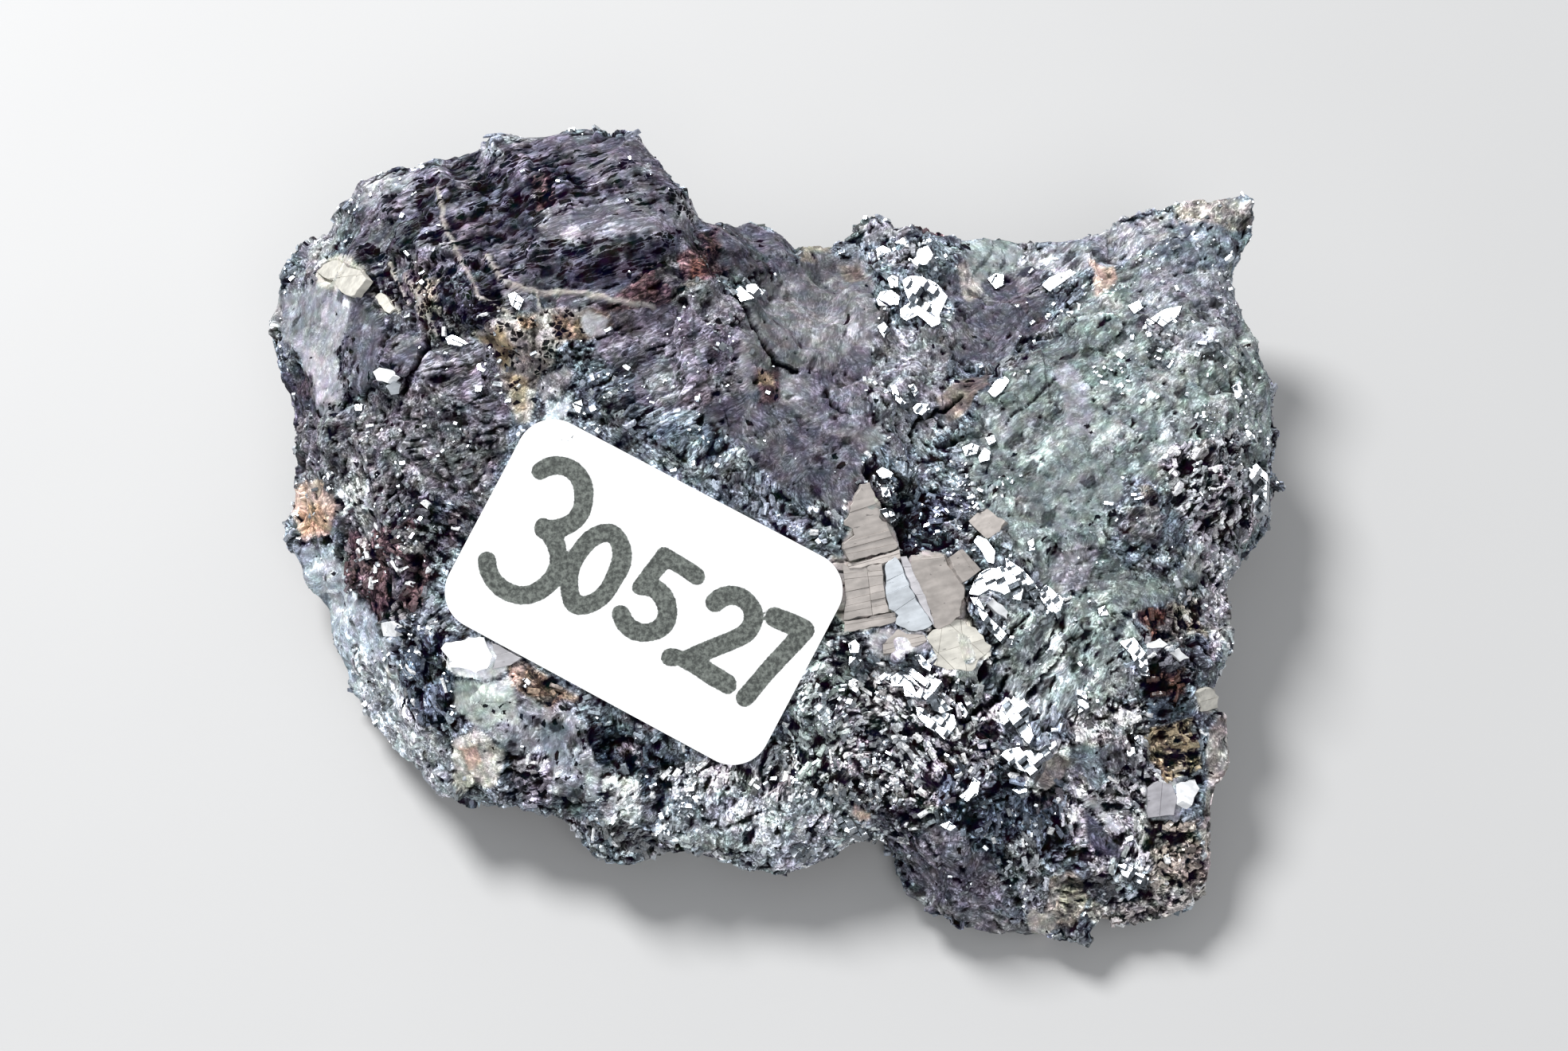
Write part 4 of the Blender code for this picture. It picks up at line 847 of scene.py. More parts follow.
def ground(points, normals):
    """The stone at each point: its colour, and how smooth, metallic and contrasty it is."""
    shown = seen(points, normals, *ROUND_THE_EDGE)
    pixels = wandering(points)
    tone = picked(HIDDEN, cells(points, HIDDEN_SIZE, SEED + 40)[0][:, 0])
    tone = tone + (mineral(GROUND) - tone) * shown[:, None]
    habit = np.tile(GROUND_HABIT, (len(points), 1))
    for outline, name, smooth, metal, contrast in REGIONS:
        share = (inside(pixels, outline, REGION_SOFTNESS) * shown)[:, None]
        tone += (mineral(name) - tone) * share
        habit += (np.array((smooth, metal, contrast)) - habit) * share
    grain, reach = CRYSTAL_BEND
    bend = [smooth_noise(points, grain, SEED + 44 + axis) for axis in range(3)]
    crystal, _, _ = cells(points + np.stack(bend, 1) * reach, BROKEN[1][0], SEED + 2)
    share = (crystal[:, 2] < GUEST_SHARE) * GUEST_STRENGTH * habit[:, 2]
    tone += (picked(GUESTS, crystal[:, 1]) - tone) * share[:, None]
    swing = (crystal - 0.5) * (0.25 + 0.75 * habit[:, 2:])
    tone *= (1 + swing[:, :1] * 0.9) * (1 + swing * 0.10)
    for line, half_width, _ in VEINS:
        share = (veined(points, line, half_width + 1.0) * shown)[:, None]
        tone += (mineral(VEIN_MINERAL) - tone) * share * VEIN_STRENGTH
        habit += (VEIN_HABIT - habit) * share
    return tone, habit


def fibre_frame(points):
    """Places along the fibres and across them, in a space where grains aren't drawn out."""
    draw, _, _ = cells(points, LAY_SIZE, SEED + 60)
    direction = unit((draw * 2 - 1) * FIBRE_SPREAD)
    longer = np.full(len(points), LONGER)
    pixels = wandering(points)
    high = points[:, 2] > FIBRE_FLOOR
    for middle, reach, start, end, stretch in FIBRES:
        near = (np.hypot(*(pixels - np.array(middle, float)).T) < reach) & high
        direction[near] = unit(placed(*end, FIBRE_HEIGHT) - placed(*start, FIBRE_HEIGHT))
        longer[near] = stretch
    across = unit(np.cross(direction, (0, 0, 1)))
    axes = direction, across, np.cross(direction, across)
    laid = np.stack([(points * axis).sum(1) for axis in axes], 1)
    laid[:, 0] /= longer
    return laid, direction, longer


def facets(points, size, level, slope, seed):
    """A broken surface, every cell a plane of its own level and tilt: the cells' numbers, the
    heights and how near each point is to its cell's border."""
    draw, offset, border = cells(points, size, seed)
    tilt = (draw * 2 - 1) * slope
    return draw, (draw[:, 0] * 2 - 1) * level + (tilt * offset).sum(1) * size, border


def vertex_normals(points, faces):
    """The surface's direction at each point of a net of triangles or quads."""
    sides = points[faces[:, 2]] - points[faces[:, 0]], points[faces[:, -1]] - points[faces[:, 1]]
    across = np.cross(*sides)
    normals = np.zeros_like(points)
    for axis in range(3):
        for corner in range(faces.shape[1]):
            normals[:, axis] += np.bincount(faces[:, corner], across[:, axis], len(points))
    return unit(normals)


def relaxed(points, edges, rounds, share):
    """The points, each moved towards the mean of its neighbours, again and again."""
    count = np.bincount(edges.ravel(), minlength=len(points))[:, None]
    for _ in range(rounds):
        total = np.empty_like(points)
        for axis in range(3):
            total[:, axis] = np.bincount(edges[:, 0], points[edges[:, 1], axis], len(points))
            total[:, axis] += np.bincount(edges[:, 1], points[edges[:, 0], axis], len(points))
        points = points + (total / count - points) * share
    return points


def read_mesh(data):
    points = np.empty(len(data.vertices) * 3, np.float32)
    data.vertices.foreach_get("co", points)
    edges = np.empty(len(data.edges) * 2, np.int32)
    data.edges.foreach_get("vertices", edges)
    return points.reshape(-1, 3).astype(float), edges.reshape(-1, 2)


def label_axes():
    """The label's middle and its three directions: along it, across it, and out of it."""
    along = RIGHT * math.cos(LABEL_TURN) + UP * math.sin(LABEL_TURN)
    along = unit(along * math.cos(LABEL_RISE) + BACK * math.sin(LABEL_RISE))
    across = unit(np.cross(BACK, along))
    return placed(*LABEL_MIDDLE), along, across, np.cross(along, across)


def off_label(points, spare):
    """0 under the label, rising to 1 at that distance beyond its edge."""
    middle, along, across, out = label_axes()
    offset = points - middle
    beside = np.abs(offset @ along) - LABEL_LENGTH / 2
    above = np.abs(offset @ across) - LABEL_WIDTH / 2
    far = np.abs(offset @ out) > LABEL_REACH
    return np.where(far, 1.0, ramp(np.maximum(beside, above), 0, spare))


def fitted(spots):
    """The middle of a set of points and the direction of the plane that fits them best."""
    middle = spots.mean(0)
    normal = np.linalg.svd(spots - middle, full_matrices=False)[2][2]
    return middle, unit(normal * np.sign(normal @ BACK))


def pressed(points, shown):
    """The points, brought onto a plane in each of the flat facets, and where that is."""
    pixels = pixels_of(points)
    flat = np.zeros(len(points))
    for outline in FLATS:
        share = inside(pixels, outline, FLAT_EDGE) * shown
        middle, normal = fitted(points[share > 0.5])
        points = points - normal * ((points - middle) @ normal * share)[:, None]
        flat = np.maximum(flat, share)
    return points, flat


def relief(points, shown, habit, laid, pit):
    """How far the broken surface stands above the smooth form, how much painted shade its hollows
    get, and how light each flake is in red, green and blue. Slabs, blocks and splinters lie over
    it."""
    rough, contrast = 1 - habit[:, 0], habit[:, 2]
    pixels = pixels_of(points)
    height = fractal_noise(points, SWELL_SIZE, SEED + 5) * SWELL_HEIGHT
    for size, level, slope, groove, seed in BROKEN:
        _, step, border = facets(points, size, level, slope, SEED + seed)
        height += step * (0.15 + 0.85 * rough)
        height -= ramp(border * size, GROOVE_WIDTH, 0.0) * groove * rough
    draw, step, border = facets(laid, FLAKE_SIZE, FLAKE_LEVEL, FLAKE_SLOPE, SEED + 3)
    edge = ramp(border * FLAKE_SIZE, *FLAKE_EDGE)
    height += (step - edge * FLAKE_GROOVE) * rough
    wave = 0.62 * smooth_noise(laid, GAP_SIZE, SEED + 50)
    wave += 0.38 * smooth_noise(laid, GAP_SIZE * 0.45, SEED + 51)
    start = GAP_START - GAP_CONTRAST * contrast + GAP_SMOOTH * habit[:, 0]
    gap = ramp(wave, start, start + GAP_RISE)
    # gaps and pits are sunk into the skin and painted with shade
    hollow = np.maximum(gap, pit * np.minimum(1, 0.3 + contrast))
    height -= hollow * GAP_DEPTH
    for line, half_width, lift in VEINS:
        vein = veined(points, line, half_width) * shown
        height += vein * lift * MM
        hollow *= 1 - vein
    for places, depth in ((SLABS, SLAB_BED), (TERRACES, TERRACE_BED)):
        bed = np.zeros(len(points))
        for outline, *_ in places:
            bed = np.maximum(bed, inside(pixels, outline, BED_EDGE) * shown)
        height = height * (1 - bed) - depth * bed
    # painted shade on the stone lowered under the terraces' blocks
    hollow = np.maximum(hollow, bed * 0.85)
    light = np.exp((draw[:, 1] * 2 - 1) * FLAKE_SPREAD * (0.3 + 0.7 * contrast))
    light = np.where(draw[:, 2] < DARK_FLAKES * contrast, DARK_GAIN, light)
    # very light flakes: partly pale grains, partly painted glints
    light = np.where(draw[:, 2] > 1 - PALE_GLINT_FLAKES * contrast, PALE_GLINT_GAIN, light)
    tint = 1 + (draw - 0.5) * FLAKE_TINT * contrast[:, None]
    # the flakes' grooves get painted shade as well
    return height, np.maximum(hollow, edge * 0.4 * contrast), light[:, None] * tint


def cracks(points, shown):
    """How deep the cracks cut at each point."""
    pixels = strayed(pixels_of(points), points, *CRACK_WANDER, SEED + 70)
    depth = np.zeros(len(points))
    for line, half_width, deep in CRACKS:
        share = ramp(along_line(pixels, line), half_width * 1.4, half_width * 0.3)
        depth = np.maximum(depth, share * deep * MM)
    return depth * shown


def evaluated(data, kind, **settings):
    """A mesh as one modifier leaves it."""
    thing = bpy.data.objects.new("net", data)
    bpy.context.collection.objects.link(thing)
    modifier = thing.modifiers.new("net", kind)
    for name, value in settings.items():
        setattr(modifier, name, value)
    graph = bpy.context.evaluated_depsgraph_get()
    net = bpy.data.meshes.new_from_object(thing.evaluated_get(graph))
    bpy.data.objects.remove(thing)
    return net


def paint(data, name, values, kind="FLOAT_COLOR"):
    """Stores a colour, or a vector where the kind says so, for each point of a mesh."""
    made = data.attributes.new(name, kind, "POINT")
    if kind == "FLOAT_VECTOR":
        made.data.foreach_set("vector", values.astype(np.float32).ravel())
        return
    full = np.ones((len(values), 4), np.float32)
    full[:, :3] = values
    made.data.foreach_set("color", full.ravel())


def piece(name, data, material):
    thing = bpy.data.objects.new(name, data)
    bpy.context.collection.objects.link(thing)
    data.materials.clear()
    data.materials.append(material)
    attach(thing, "root")
    return thing


def make_skin(material):
    """The stone's whole surface in a few pieces, and what the other pieces need to know of it."""
    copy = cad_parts["galena_ore"].data.copy()
    net = evaluated(copy, "REMESH", mode="VOXEL", voxel_size=SKIN_VOXEL)
    points, edges = read_mesh(net)
    quads = np.empty(len(net.loops), np.int32)
    net.loops.foreach_get("vertex_index", quads)
    quads = quads.reshape(-1, 4)
    points = relaxed(points, edges, RELAX_ROUNDS, RELAX_SHARE)
    shown = seen(points, vertex_normals(points, quads))
    points, flat = pressed(points, shown)
    form = BVHTree.FromPolygons(points.tolist(), quads.tolist())
    normals = vertex_normals(points, quads)
    tone, habit = ground(points, normals)
    laid, direction, longer = fibre_frame(points)
    share = np.maximum(holed(points, shown), PIT_SHARE * (1 - habit[:, 0]))
    height, dark, light = relief(points, shown, habit, laid, pits(laid, longer, share))
    deep = cracks(points, shown)
    room = 1 - np.maximum(taken(points, shown), np.maximum(dark, deep > CRACK_OPEN))
    height *= off_label(points, LABEL_SPARE) * (1 - 0.75 * flat)
    points = points + normals * (height - deep)[:, None]
    points[:, 2] = np.maximum(points[:, 2], 0)
    # painted shade in the cracks, full where they are deep
    dark = np.maximum(dark, np.minimum(1, deep / CRACK_SHADED))
    # the colour, darkened by the painted shade in gaps, pits, grooves and cracks
    painted = tone * light * ((1 + TONE_GAIN * habit[:, 2]) * (1 - BLACKEST * dark))[:, None]
    # painted shade: how far each point lies under a smoothed copy of the surface
    filled = relaxed(points, edges, CAVITY_ROUNDS, CAVITY_SHARE)
    cavity_shade = ((filled - points) * normals).sum(1) / CAVITY_DEPTH
    # painted shade for the material: in gaps and cracks, in wide hollows, and the share of holes
    hollow = np.stack((dark, cavity_shade, share * off_label(points, LABEL_SPARE)), 1)
    order = np.argsort(points[quads[:, 0], 0])
    for part, chosen in enumerate(np.array_split(order, SKIN_PIECES)):
        used, corners = np.unique(quads[chosen], return_inverse=True)
        data = bpy.data.meshes.new("skin")
        data.from_pydata(points[used].tolist(), [], corners.reshape(-1, 4).tolist())
        data.polygons.foreach_set("use_smooth", np.ones(len(data.polygons), bool))
        data.set_sharp_from_angle(angle=SKIN_SHARP)
        paint(data, "tone", painted[used])
        paint(data, "habit", habit[used])
        paint(data, "hollow", hollow[used])
        paint(data, "laid", laid[used], "FLOAT_VECTOR")
        skin = piece(f"stone_skin_{part + 1}", data, material)
        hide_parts("galena_ore")
    return SimpleNamespace(
        points=points, normals=vertex_normals(points, quads), form=form, tone=tone, habit=habit,
        direction=direction, longer=longer, room=room, shown=shown,
    )


CUBE_CORNERS = np.array(
    [(x, y, z) for z in (-1, 1) for x, y in ((-1, -1), (1, -1), (1, 1), (-1, 1))], float
)
CUBE_FACES = np.array(
    [(0, 3, 2, 1), (4, 5, 6, 7), (0, 1, 5, 4), (1, 2, 6, 5), (2, 3, 7, 6), (3, 0, 4, 7)]
)


def blocks_mesh(name, centres, axes, halves, taper):
    """Many small blocks as one mesh: axes are three unit directions for each block."""
    corners = np.tile(CUBE_CORNERS, (len(centres), 1, 1))
    corners[:, 4:, :2] *= taper[:, None, :]
    corners *= halves[:, None, :]
    points = centres[:, None, :] + np.einsum("nki,nij->nkj", corners, axes)
    faces = CUBE_FACES[None] + 8 * np.arange(len(centres))[:, None, None]
    data = bpy.data.meshes.new(name)
    points = points.reshape(-1, 3)
    points[:, 2] = np.maximum(points[:, 2], LEAST_HEIGHT)
    data.from_pydata(points.tolist(), [], faces.reshape(-1, 4).tolist())
    data.update()
    return data


def turned(axes, angles):
    """Each frame of three directions, turned by small angles about its own axes."""
    spins = np.array([Euler(turn).to_matrix() for turn in angles])
    return np.einsum("nij,njk->nik", spins, axes)


def taken(points, shown):
    """1 where slabs, terraces or the label leave no room for splinters and grains."""
    pixels = pixels_of(points)
    share = 1 - off_label(points, SPLINTER_SPARE)
    for outline, *_ in SLABS + TERRACES:
        share = np.maximum(share, inside(pixels, outline, BED_EDGE) * shown)
    return share


def make_laths(stone, material):
    """Splinters of the duller minerals, laid along the fibres of the skin and half sunk."""
    rng = np.random.default_rng(SEED)
    chance = ramp(stone.habit[:, 2] - stone.habit[:, 0], *LATH_ROUGH) * stone.room
    chance *= stone.points[:, 2] > LATH_FLOOR
    chosen = rng.choice(len(chance), LATHS, False, chance / chance.sum())
    spots, normals = stone.points[chosen], stone.normals[chosen]
    tone, habit = stone.tone[chosen], stone.habit[chosen].copy()
    lay, longer = stone.direction[chosen], np.sqrt(stone.longer[chosen] / LONGER)
    long = unit(lay - normals * (lay * normals).sum(1, keepdims=True))
    length = rng.uniform(*LATH_LENGTH, LATHS) * longer
    width = rng.uniform(*LATH_WIDTH, LATHS) / np.sqrt(longer)
    high = rng.uniform(*LATH_HIGH, LATHS)
    turns = rng.normal(0, 1, (LATHS, 3)) * LATH_TURNS
    turns[:, 1:] /= longer[:, None] ** 1.5
    axes = turned(np.stack((long, np.cross(normals, long), normals), 1), turns)
    centres = spots - normals * (high * (LATH_SUNK - 0.5))[:, None]
    taper = rng.uniform(*LATH_TAPER, (LATHS, 2))
    light = np.exp(rng.normal(0, LATH_SPREAD, LATHS)) ** (0.3 + 0.7 * habit[:, 2])
    draw = rng.random(LATHS)
    light = np.where(draw < DARK_SHARE * habit[:, 2], LATH_DARK, light)
    tone = np.clip(tone * light[:, None] * LATH_GAIN, *LATH_TONES)
    # a few splinters painted near-white: partly pale mineral, partly painted glints
    tone[draw > 1 - PALE_GLINT_SHARE * (0.4 + habit[:, 2])] = mineral(GLINT_MINERAL) * LATH_SHINE
    metallic = rng.random(LATHS) < METAL_SHARE + 0.4 * habit[:, 1]
    habit[:, 1] = np.where(metallic, LATH_SHINE, 0.0)
    halves = np.stack((length, width, high), 1) / 2
    made = blocks_mesh("laths", centres, axes, halves, taper)
    paint(made, "tone", np.repeat(tone, 8, 0))
    paint(made, "habit", np.repeat(habit, 8, 0))
    piece("mineral_splinters", made, material)


def hit(stone, corner):
    """Where the view's ray through a pixel meets the stone's smooth form."""
    return stone.form.ray_cast(Vector(EYE), Vector(unit(rays(*corner))))[0]


def on_plane(ring, point, normal):
    """An outline in view pixels, laid on a plane along the view's rays."""
    sight = np.array([rays(*corner) for corner in ring])
    return EYE + sight * (np.dot(point - EYE, normal) / (sight @ normal))[:, None]


def clipped(ring, point, inward):
    """The part of a flat outline on the inward side of a line."""
    sides = (ring - point) @ inward
    kept = []
    for spot, after, side, next_side in zip(
        ring, np.roll(ring, -1, 0), sides, np.roll(sides, -1)
    ):
        if side >= 0:
            kept.append(spot)
        if (side >= 0) != (next_side >= 0):
            kept.append(spot + (after - spot) * side / (side - next_side))
    return np.array(kept)


def cleaved(outline, turn, edge, rng):
    """An outline cut into blocks by cleavage: long cuts one way, short ones across them."""
    ring = np.array(outline, float)
    along = np.array((math.cos(turn), math.sin(turn)))
    across = np.array((-along[1], along[0]))
    blocks, middle = [], ring.mean(0)
    reach = np.abs(ring - middle).sum(1).max()
    low = -reach
    while low < reach:
        high = low + edge * rng.uniform(0.55, 1.0)
        strip = clipped(ring, middle + across * low, across)
        strip = clipped(strip, middle + across * high, -across) if len(strip) > 2 else strip
        left = -reach - edge * rng.random()
        while left < reach and len(strip) > 2:
            right = left + edge * rng.uniform(0.7, 1.9)
            block = clipped(strip, middle + along * left, along)
            block = clipped(block, middle + along * right, -along) if len(block) > 2 else block
            if len(block) > 2:
                blocks.append(block)
            left = right
        low = high
    return blocks


class Plates:
    """Flat-topped blocks of any outline, gathered into one mesh."""

    def __init__(self):
        self.points, self.faces, self.tones = [], [], []

    def add(self, ring, normal, bevel, depth, tone):
        """One block: its upper outline, narrowed by a bevel, over steep sides."""
        hub = ring.mean(0)
        before, after = np.roll(ring, 1, 0), np.roll(ring, -1, 0)
        if np.cross(ring - hub, after - hub).sum(0) @ normal < 0:
            ring, before, after = ring[::-1], after[::-1], before[::-1]
        inward = unit(unit(before - ring) + unit(after - ring) + 1e-6)
        inward *= np.sign(np.cross(after - ring, before - ring) @ normal)[:, None]
        levels = (
            ring + inward * bevel * 1.6,
            ring + inward * bevel * 0.4 - normal * bevel,
            ring - normal * depth,
        )
        first, count = len(self.points), len(ring)
        for level in levels:
            self.points.extend(level.tolist())
        self.faces.append([first + i for i in range(count)])
        self.faces.append([first + 2 * count + i for i in reversed(range(count))])
        for row in (first, first + count):
            for i in range(count):
                j = (i + 1) % count
                self.faces.append((row + i, row + count + i, row + count + j, row + j))
        self.tones.extend([tone] * (3 * count))

    def made(self, name, material):
        data = bpy.data.meshes.new(name)
        data.from_pydata(self.points, [], self.faces)
        data.update()
        paint(data, "tone", np.array(self.tones))
        piece(name, data, material)


def flashing(points):
    """The way that a face at each point looks when it mirrors the light to the eye."""
    lamp = unit(TO_LIGHT) * LIGHT_DISTANCE
    return unit(unit(lamp - points) + unit(EYE - points))


def make_terraces(stone, material):
    """Galena: cleaved places whose blocks all face nearly the same way and flash together."""
    rng = np.random.default_rng(SEED + 1)
    plates = Plates()
    for outline, edge in TERRACES:
        place = placed(*np.mean(outline, 0), TERRACE_HEIGHT)
        facing = unit(flashing(place) + rng.normal(0, TERRACE_LEAN, 3))
        turn = rng.normal(*TERRACE_TURN)
        for block in cleaved(outline, turn, edge * MM * PIXELS_PER_M * BLOCK_GAIN, rng):
            spot = hit(stone, block.mean(0))
            if spot is None:
                continue
            own = unit(facing + rng.normal(0, TERRACE_JITTER, 3))
            top = np.array(spot) + own * BLOCK_PROUD * rng.uniform(0.7, 1.3)
            tone = mineral(GALENA_MINERAL) * rng.uniform(0.55, 1.1)
            ring = on_plane(block, top, own)
            plates.add(ring, own, BLOCK_GAP, BLOCK_DEPTH, tone)
    plates.made("galena_terraces", material)


def make_grains(stone, material):
    """Small single blocks of galena, strewn over the rough places."""
    rng = np.random.default_rng(SEED + 6)
    chance = (1 - stone.habit[:, 0]) ** 2 * stone.room * (stone.points[:, 2] > GRAIN_FLOOR)
    chance *= (0.03 + stone.habit[:, 1]) * (0.4 + 0.6 * stone.shown)
    chance *= 0.10 + ramp(smooth_noise(stone.points, GRAIN_CLUSTER, SEED + 95), 0.0, 0.6)
    chosen = rng.choice(len(chance), GLITTER, False, chance / chance.sum())
    normals = stone.normals[chosen]
    astray = rng.normal(0, GRAIN_TURN, (GLITTER, 3))
    facing = unit(flashing(stone.points[chosen]) + normals * GRAIN_RISE + astray)
    side = unit(np.cross(facing, rng.normal(0, 1, (GLITTER, 3))))
    size = GRAIN_SMALL + GRAIN_SPREAD * rng.random((GLITTER, 1)) ** 3
    halves = size * rng.uniform(0.7, 1.3, (GLITTER, 3)) * GRAIN_SHAPE / 2
    centres = stone.points[chosen] - normals * halves.min(1)[:, None] * GRAIN_SUNK
    axes = np.stack((side, np.cross(facing, side), facing), 1)
    taper = rng.uniform(0.5, 1.0, (GLITTER, 2))
    made = blocks_mesh("grains", centres, axes, halves, taper)
    tone = mineral(GALENA_MINERAL) * rng.uniform(0.75, 1.1, (GLITTER, 1))
    paint(made, "tone", np.repeat(tone, 8, 0))
    piece("galena_grains", made, material)


def ragged(outline):
    """The outline with more corners, each a little astray, as broken edges are."""
    made = []
    for (x0, y0), (x1, y1) in zip(outline, outline[1:] + outline[:1]):
        steps = max(1, round(math.hypot(x1 - x0, y1 - y0) / RAGGED_STEP))
        for i in range(steps):
            spot = np.array((x0 + (x1 - x0) * i / steps, y0 + (y1 - y0) * i / steps))
            astray = drawn(np.array([[*spot.astype(int), len(made)]]), SEED + 97)[0, :2] - 0.5
            made.append(spot + astray * 2 * RAGGED_REACH)
    return np.array(made)


def split(rings, start, end):
    """The rings, each cut in two where a line crosses it."""
    run = np.subtract(end, start).astype(float)
    across = np.array((-run[1], run[0]))
    halves = [clipped(ring, np.array(start), side) for ring in rings for side in (across, -across)]
    return [half for half in halves if len(half) > 2]


def make_slabs(stone, material):
    """The flat cleavage faces: closed slabs with a narrow bevel, seated in the stone."""
    rng = np.random.default_rng(SEED + 2)
    plates = Plates()
    for outline, lift, name, lines in SLABS:
        spots = [hit(stone, corner) for corner in outline]
        middle, normal = fitted(np.array([spot for spot in spots if spot is not None]))
        middle = middle + normal * (lift * MM - SLAB_SINK)
        rings = [ragged(outline)]
        for start, end in lines:
            rings = split(rings, start, end)
        for ring in rings:
            lean = unit(normal + rng.normal(0, SLAB_LEAN, 3))
            level = rng.normal(0, SLAB_STEP) if lines else 0.0
            hub = on_plane(ring, middle, normal).mean(0) + lean * level
            tone = mineral(name) * rng.uniform(0.9, 1.08)
            plates.add(on_plane(ring, hub, lean), lean, SLAB_BEVEL, SLAB_DEPTH, tone)
    plates.made("cleavage_slabs", material)


def rounded(x, y):
    """A point of a plain rectangle, moved so that the rectangle's corners become round."""
    hub_x, hub_y = LABEL_LENGTH / 2 - LABEL_CORNER, LABEL_WIDTH / 2 - LABEL_CORNER
    over_x, over_y = abs(x) - hub_x, abs(y) - hub_y
    if over_x <= 0 or over_y <= 0:
        return x, y
    reach = max(over_x, over_y)
    length = math.hypot(over_x, over_y)
    x = math.copysign(hub_x + over_x / length * reach, x)
    y = math.copysign(hub_y + over_y / length * reach, y)
    return x, y


def arc(x, y, across, upward, start, end, steps=14):
    """Points along part of an ellipse, its angles in degrees."""
    angles = [math.radians(start + (end - start) * i / steps) for i in range(steps + 1)]
    return [(x + across * math.cos(a), y + upward * math.sin(a)) for a in angles]


# The label's numerals, drawn in strokes, in mm from the label's middle
NUMERALS = [
    arc(-6.4, 2.15, 1.55, 1.75, 150, -80) + arc(-6.4, -1.45, 1.85, 1.95, 82, -150),
    arc(-2.75, -0.15, 1.15, 2.1, 100, 460, 24),
    [(2.15, 2.05), (0.2, 2.2), (-0.05, 0.35)] + arc(0.55, -0.85, 1.25, 1.2, 120, -140),
    [(2.95, -2.35), (3.1, -2.3)],
    arc(4.75, 0.95, 1.15, 1.15, 165, -30) + [(3.7, -2.1), (6.2, -2.25)],
    [(6.7, 2.0), (8.45, 2.15), (7.35, -2.4)],
]


def make_label(material):
    """The paper label, bent a little over the stone, with its ink as a painted mark."""
    middle, along, across, out = label_axes()
    columns, rows = LABEL_GRID
    top, flat = [], []
    for j in range(rows + 1):
        for i in range(columns + 1):
            x, y = rounded((i / columns - 0.5) * LABEL_LENGTH, (j / rows - 0.5) * LABEL_WIDTH)
            flat.append((x, y))
            top.append(middle + along * x + across * y)
    flat, top = np.array(flat), np.array(top)
    sag = sum(
        reach * smooth_noise(top, size, SEED + 80 + k) for k, (size, reach) in enumerate(LABEL_SAG)
    )
    top = top + out * (sag - LABEL_SEAT)[:, None]
    low = top - out * LABEL_THICKNESS
    count = len(top)
    faces = []
    for j in range(rows):
        for i in range(columns):
            a = j * (columns + 1) + i
            faces.append((a, a + 1, a + columns + 2, a + columns + 1))
    ring = list(range(columns))
    ring += [j * (columns + 1) + columns for j in range(rows)]
    ring += [rows * (columns + 1) + i for i in range(columns, 0, -1)]
    ring += [j * (columns + 1) for j in range(rows, 0, -1)]
    low = low[ring]
    under = [count + i for i in range(len(ring))]
    for a, b, under_a, under_b in zip(ring, ring[1:] + ring[:1], under, under[1:] + under[:1]):
        faces.append((b, a, under_a, under_b))
    faces.append(under[::-1])
    data = bpy.data.meshes.new("label")
    data.from_pydata(np.concatenate((top, low)).tolist(), [], faces)
    data.update()
    wobble = strayed(flat / MM, top, *INK_WANDER, SEED + 82)
    ink = np.zeros(count)
    for stroke in NUMERALS:
        gap = along_line(wobble, stroke) * MM
        ink = np.maximum(ink, ramp(gap, INK_HALF_WIDTH + INK_EDGE, INK_HALF_WIDTH - INK_EDGE))
    ink = np.concatenate((ink, np.zeros(len(ring))))
    paint(data, "ink", np.repeat(ink[:, None], 3, 1))
    data.polygons.foreach_set("use_smooth", np.ones(len(data.polygons), bool))
    data.set_sharp_from_angle(angle=LABEL_SHARP)
    label = piece("label", data, material)
    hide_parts("paper_label")


